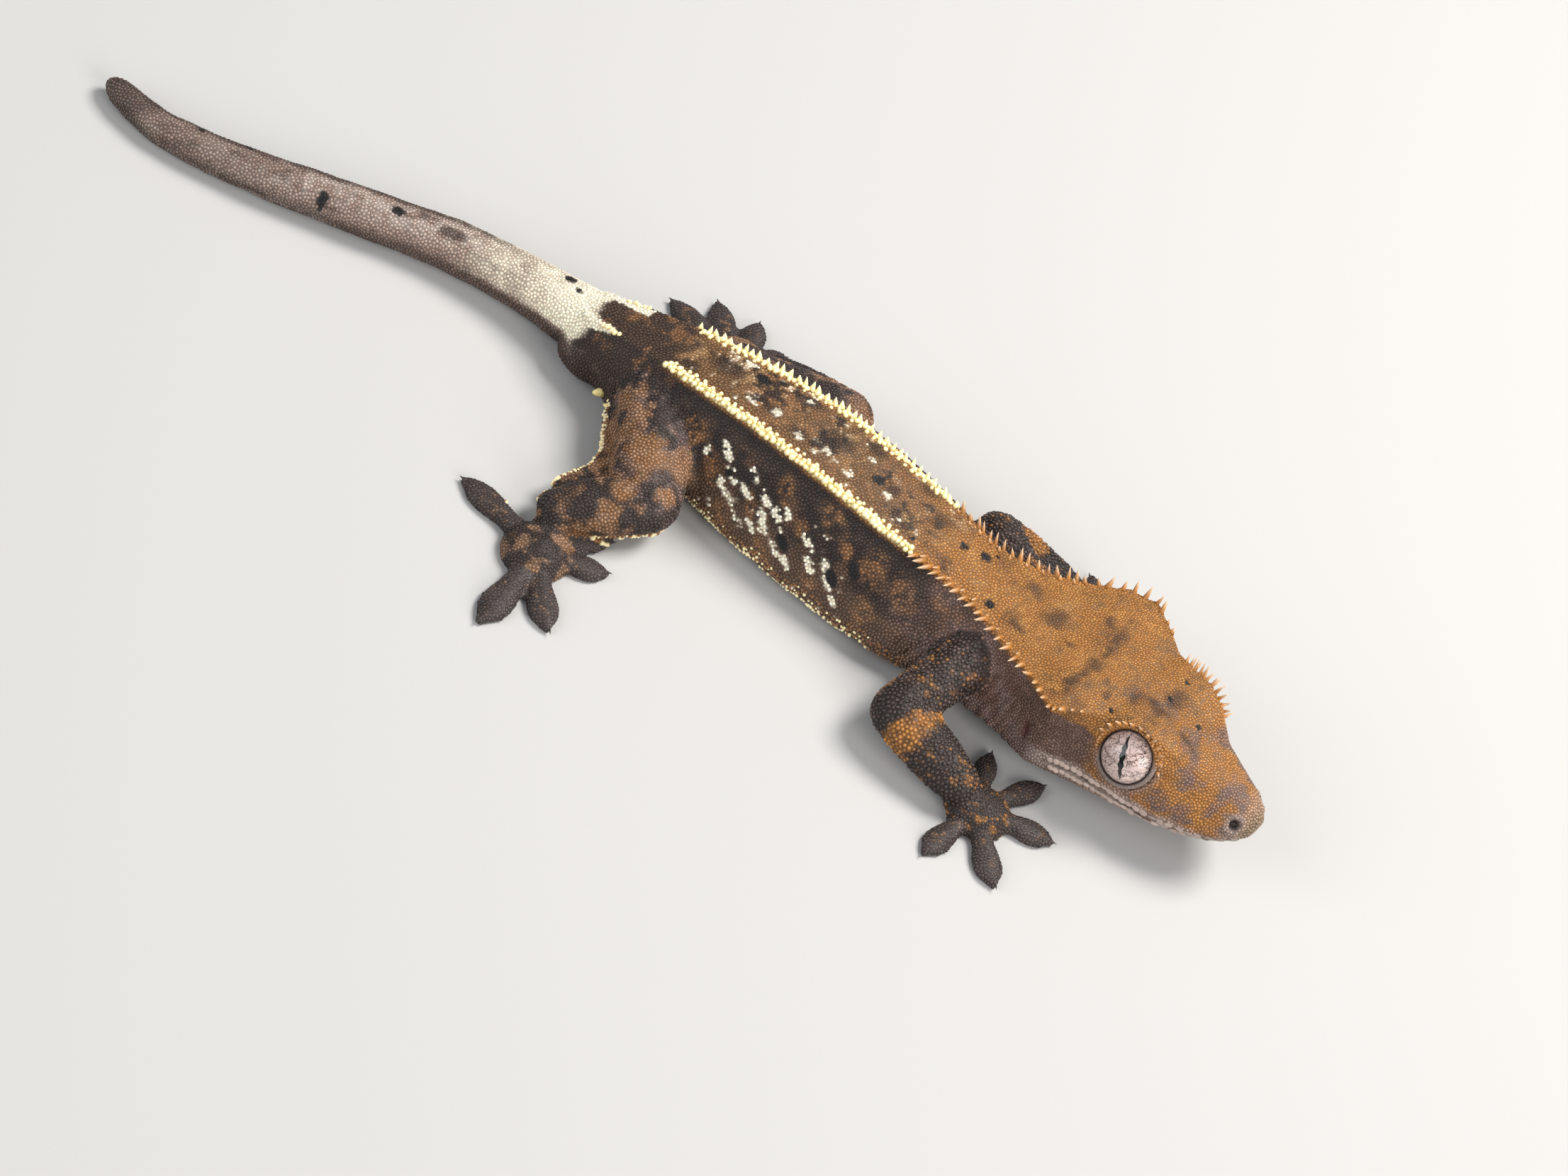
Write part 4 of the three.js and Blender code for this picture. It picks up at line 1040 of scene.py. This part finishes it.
def plantEdges():
    rows = [row for edge in edgeLines.values() for row in edgeBeads(edge)]
    rows += bellyBeads(1, bellyEdge) + bellyBeads(-1, bellyEdge)
    spotsHere, radii, cream = (np.array(column) for column in zip(*rows))
    places, normals, rootNames = onSkin(spotsHere)
    tones = np.where(cream[:, None], paint["edgeCream"], paint["orangeBrown"] * 0.9)
    # the beads fade from a base painted 10% darker as shade to a top painted 5% lighter as a highlight
    plant("edge_beads", beadForm, places, rootNames, normals, backward(places), radii * 1.5, radii, radii,
          tones * 0.9, tones * 1.05, spineMaterial, sink=0.35)
    places, normals, rootNames = onSkin(spurs["at"])
    size = np.array(spurs["size"])
    upright, tones = np.tile((0.0, 0.0, 1.0), (3, 1)), np.tile(paint["cream"], (3, 1))
    plant("spurs", beadForm, places, rootNames, normals * 0.8 + np.array([-0.5, 0, 0.1]), upright, size * 2.4,
          size, size, tones, tones, spineMaterial)


plantEdges()

# two rows of lip scales, smaller towards the corner of the mouth
lips = {"rows": ((0.55, 0.42, 0.9), (-0.5, 0.36, 1.3)), "end": 25.5, "length": 0.84, "thick": 0.17}


def plantLips():
    rows = []
    for side in (1, -1):
        for lift, tall, at in lips["rows"]:
            while at < lips["end"]:
                long = lips["length"] - 0.012 * at
                spot = placeAt(at, side * (float(keyed("sideOut", at)) + 0.6), float(keyed("mouthUp", at)) + lift)[0]
                shade = random.uniform(0.85, 1.12) * float(np.interp(at, [3, 10, 22], [0.68, 0.95, 1.05]))
                rows.append((spot, paint["paleMauve"] * shade, long, tall * random.uniform(0.9, 1.1)))
                at += long * 1.5
    spotsHere, tones, longs, talls = (np.array(column) for column in zip(*rows))
    places, normals, rootNames = onSkin(spotsHere)
    # each plate fades from a base painted 30% darker, as shade where it sits on the skin, to its own tone on top
    plant("lip_scales", plateForm, places, rootNames, normals, backward(places), np.full(len(places), lips["thick"]),
          longs, talls, tones * 0.7, tones, scaleMaterial, sink=0.4)


plantLips()

# the middle of each hand and foot, and the tips of its toes
toeTips = {
    (44, -22.6): [(40.4, -13.2), (48.5, -12.2), (54.0, -19.0), (51.9, -30.7), (42.2, -33.4)],
    (40.4, 14.2): [(46.4, 7.0), (51.0, 11.2), (51.6, 17.4), (45.0, 23.4), (34.8, 22.6)],
    (-21.2, -33): [(-15.2, -23.6), (-12.5, -28.6), (-12.8, -42.0), (-20.0, -47.6), (-35.2, -30.6)],
    (-20.6, 14): [(-16.8, 21.0), (-22.6, 23.0), (-29.0, 21.4), (-33.6, 16.6), (-32.6, 10.4)],
}
claw = {"length": 1.3, "width": 0.26, "thick": 0.22, "height": 0.62, "tone": hue(58, 46, 42)}


def plantClaws(feet):
    ends = np.array([(x, y, claw["height"]) for tips in feet.values() for x, y in tips])
    forward = np.array([(x - middle[0], y - middle[1], 0) for middle, tips in feet.items() for x, y in tips])
    forward /= np.linalg.norm(forward, axis=1)[:, None]
    places, normals, rootNames = onSkin(ends - forward * 0.5)
    count = len(ends)
    length, width, thick = (np.full(count, claw[k]) for k in ("length", "width", "thick"))
    tones = np.tile(claw["tone"], (count, 1))
    plant("claws", spineForm, places - forward * 0.2, rootNames, forward + np.array([0, 0, -0.12]),
          np.tile((0.0, 0.0, -1.0), (count, 1)), length, width, thick, tones, tones * 0.6, spineMaterial)


plantClaws(toeTips)
print("spines, beads, lips and claws planted")

# eyes
eyeLook = {"iris": hue(236, 216, 210), "irisWarm": hue(204, 176, 165), "vein": hue(60, 34, 26),
           "rim": hue(34, 25, 23), "pupil": hue(8, 7, 7), "slit": 0.095, "slitLength": 0.8, "lean": 27,
           # veins from coarse to fine: scale, width, squeeze, strength
           "veins": ((2.6, 0.05, (0.7, 1.3, 1), 1.0), (5.6, 0.065, (0.75, 1.2, 1), 0.75),
                     (11, 0.08, (0.9, 1.1, 1), 0.3)),
           "finish": {"Roughness": 0.28, "Specular IOR Level": 0.05, "Coat Weight": 1.0, "Coat Roughness": 0.02}}


def eyeMaterial(look):
    material, tree, surface = newMaterial("eye")
    place = node(tree, "ShaderNodeUVMap", uv_map="eyePlace").outputs[0]
    plane = vectorNode(tree, "SCALE", vectorNode(tree, "SUBTRACT", place, (0.5, 0.5, 0)), 4.0)
    split = node(tree, "ShaderNodeSeparateXYZ", {"Vector": plane})
    x, y = split.outputs[0], split.outputs[1]
    radius = node(tree, "ShaderNodeVectorMath", {0: plane}, operation="LENGTH").outputs["Value"]
    # veins are crackle lines bent by noise
    wave = node(tree, "ShaderNodeTexNoise", {"Vector": plane, "Scale": 2.6, "Detail": 4, "Roughness": 0.65})
    bend = vectorNode(tree, "SUBTRACT", wave.outputs["Color"], (0.5, 0.5, 0.5))
    veinPlace = vectorNode(tree, "ADD", plane, vectorNode(tree, "SCALE", bend, 0.7))
    vein = None
    for scale, width, squeeze, strength in look["veins"]:
        squeezed = vectorNode(tree, "MULTIPLY", veinPlace, squeeze)
        crack = node(tree, "ShaderNodeTexVoronoi", {"Vector": squeezed, "Scale": scale}, feature="DISTANCE_TO_EDGE")
        line = node(tree, "ShaderNodeMapRange", {"Value": crack.outputs[0], "From Min": width * 0.35,
                                                 "From Max": width, "To Min": strength, "To Max": 0.0}).outputs[0]
        vein = mathNode(tree, "MAXIMUM", vein, line) if vein else line
    cloud = node(tree, "ShaderNodeTexNoise", {"Vector": plane, "Scale": 2.0, "Detail": 4}).outputs[0]
    iris = mixColour(tree, cloud, look["irisWarm"], look["iris"])
    veined = mixColour(tree, mathNode(tree, "MULTIPLY", vein, 0.92), iris, look["vein"])
    # the iris darkens to the rim colour at the edge of the lid opening: painted shade where the lid overhangs the eye
    edge = node(tree, "ShaderNodeMapRange", {"Value": radius, "From Min": 0.87, "From Max": 0.97}).outputs[0]
    lidShadedIris = mixColour(tree, edge, veined, look["rim"])
    # slit with a scalloped edge
    scallop = mathNode(tree, "MULTIPLY", mathNode(tree, "SINE", mathNode(tree, "MULTIPLY", y, 19.0)), 0.024)
    reach = mathNode(tree, "DIVIDE", mathNode(tree, "ABSOLUTE", y), look["slitLength"])
    taper = mathNode(tree, "SUBTRACT", 1.0, mathNode(tree, "POWER", reach, 2.2))
    half = mathNode(tree, "MULTIPLY", mathNode(tree, "ADD", scallop, look["slit"]), taper)
    inside = mathNode(tree, "SUBTRACT", half, mathNode(tree, "ABSOLUTE", x))
    slit = node(tree, "ShaderNodeMapRange", {"Value": inside, "From Min": -0.015, "From Max": 0.004}).outputs[0]
    feed(tree, surface, {"Base Color": mixColour(tree, slit, lidShadedIris, look["pupil"]), **look["finish"]})
    return material


irisMaterial = eyeMaterial(eyeLook)
rimMake = {"major": 3.78, "minor": 0.43, "depth": 1.95, "segments": 72, "around": 12, "folds": 26,
           "lowerTone": hue(150, 138, 132)}


def finishEyePart(piece, called, turn, material):
    piece.name = called
    if turn.determinant() < 0:
        piece.data.flip_normals()
    piece.data.materials.clear()
    piece.data.materials.append(material)
    smoothShaded(piece.data)


def buildBall(side, called, turn):
    lean = math.radians(eyeLook["lean"])
    clearSelection()
    bpy.ops.mesh.primitive_uv_sphere_add(segments=64, ring_count=40, radius=eyeShape["radius"] * mm, location=(0, 0, 0))
    ball = bpy.context.object
    mesh = ball.data
    layer = mesh.uv_layers.active
    layer.name = "eyePlace"
    for loop in mesh.loops:
        p = mesh.vertices[loop.vertex_index].co / mm
        flat = Vector((p.x * math.cos(lean) + p.y * math.sin(lean), p.y * math.cos(lean) - p.x * math.sin(lean)))
        flat /= eyeShape["opening"]
        if p.z < 0:
            flat = flat.normalized() * 1.3 if flat.length > 0 else Vector((1.3, 0))
        layer.data[loop.index].uv = (0.5 + flat.x / 4, 0.5 + flat.y / 4)
    mesh.transform(Matrix.Translation(Vector(eyes[side]["centre"]) * mm) @ turn.to_4x4())
    finishEyePart(ball, called + "_ball", turn, irisMaterial)
    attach(ball, "root")
    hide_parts(called)


def buildRim(side, called, turn):
    clearSelection()
    bpy.ops.mesh.primitive_torus_add(major_radius=rimMake["major"], minor_radius=rimMake["minor"],
                                     major_segments=rimMake["segments"], minor_segments=rimMake["around"])
    rim = bpy.context.object
    local = np.array([v.co for v in rim.data.vertices])
    x, y = local[:, 0], local[:, 1]
    local[:, 2] = local[:, 2] * 1.25 + rimMake["depth"] + 0.06 * np.sin(np.arctan2(y, x) * rimMake["folds"])
    setPoints(rim.data, local @ np.array(turn.transposed()) + np.array(Vector(eyes[side]["centre"])))
    lower = ebb(y - x * 0.5, -1.5, 2.2)
    # the inside of the lid ring, against the eyeball, is painted near-black as shade
    lidInnerShade = ebb(np.hypot(x, y), rimMake["major"] - 0.2, rimMake["major"] + 0.08)
    addTone(rim.data, layered(paint["ochre"] * 0.85, (rimMake["lowerTone"], lower * 0.9), ("nearBlack", lidInnerShade)))
    finishEyePart(rim, called + "_rim", turn, skinMaterial)
    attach(rim, "root")


for side, called in ((1, "eye_left"), (-1, "eye_right")):
    turn = Matrix([Vector(eyes[side][k]) for k in ("ahead", "up", "look")]).transposed()
    buildBall(side, called, turn)
    buildRim(side, called, turn)
print("eyes built")

# floor
bpy.ops.mesh.primitive_plane_add(size=4, location=(0, 0, -0.00002))
floor = bpy.context.object
floor.name = "floor"
floorMaterial, floorTree, floorSurface = newMaterial("pale floor")
feed(floorTree, floorSurface, {"Base Color": (*hue(186, 185, 183), 1), "Roughness": 0.9})
floor.data.materials.append(floorMaterial)
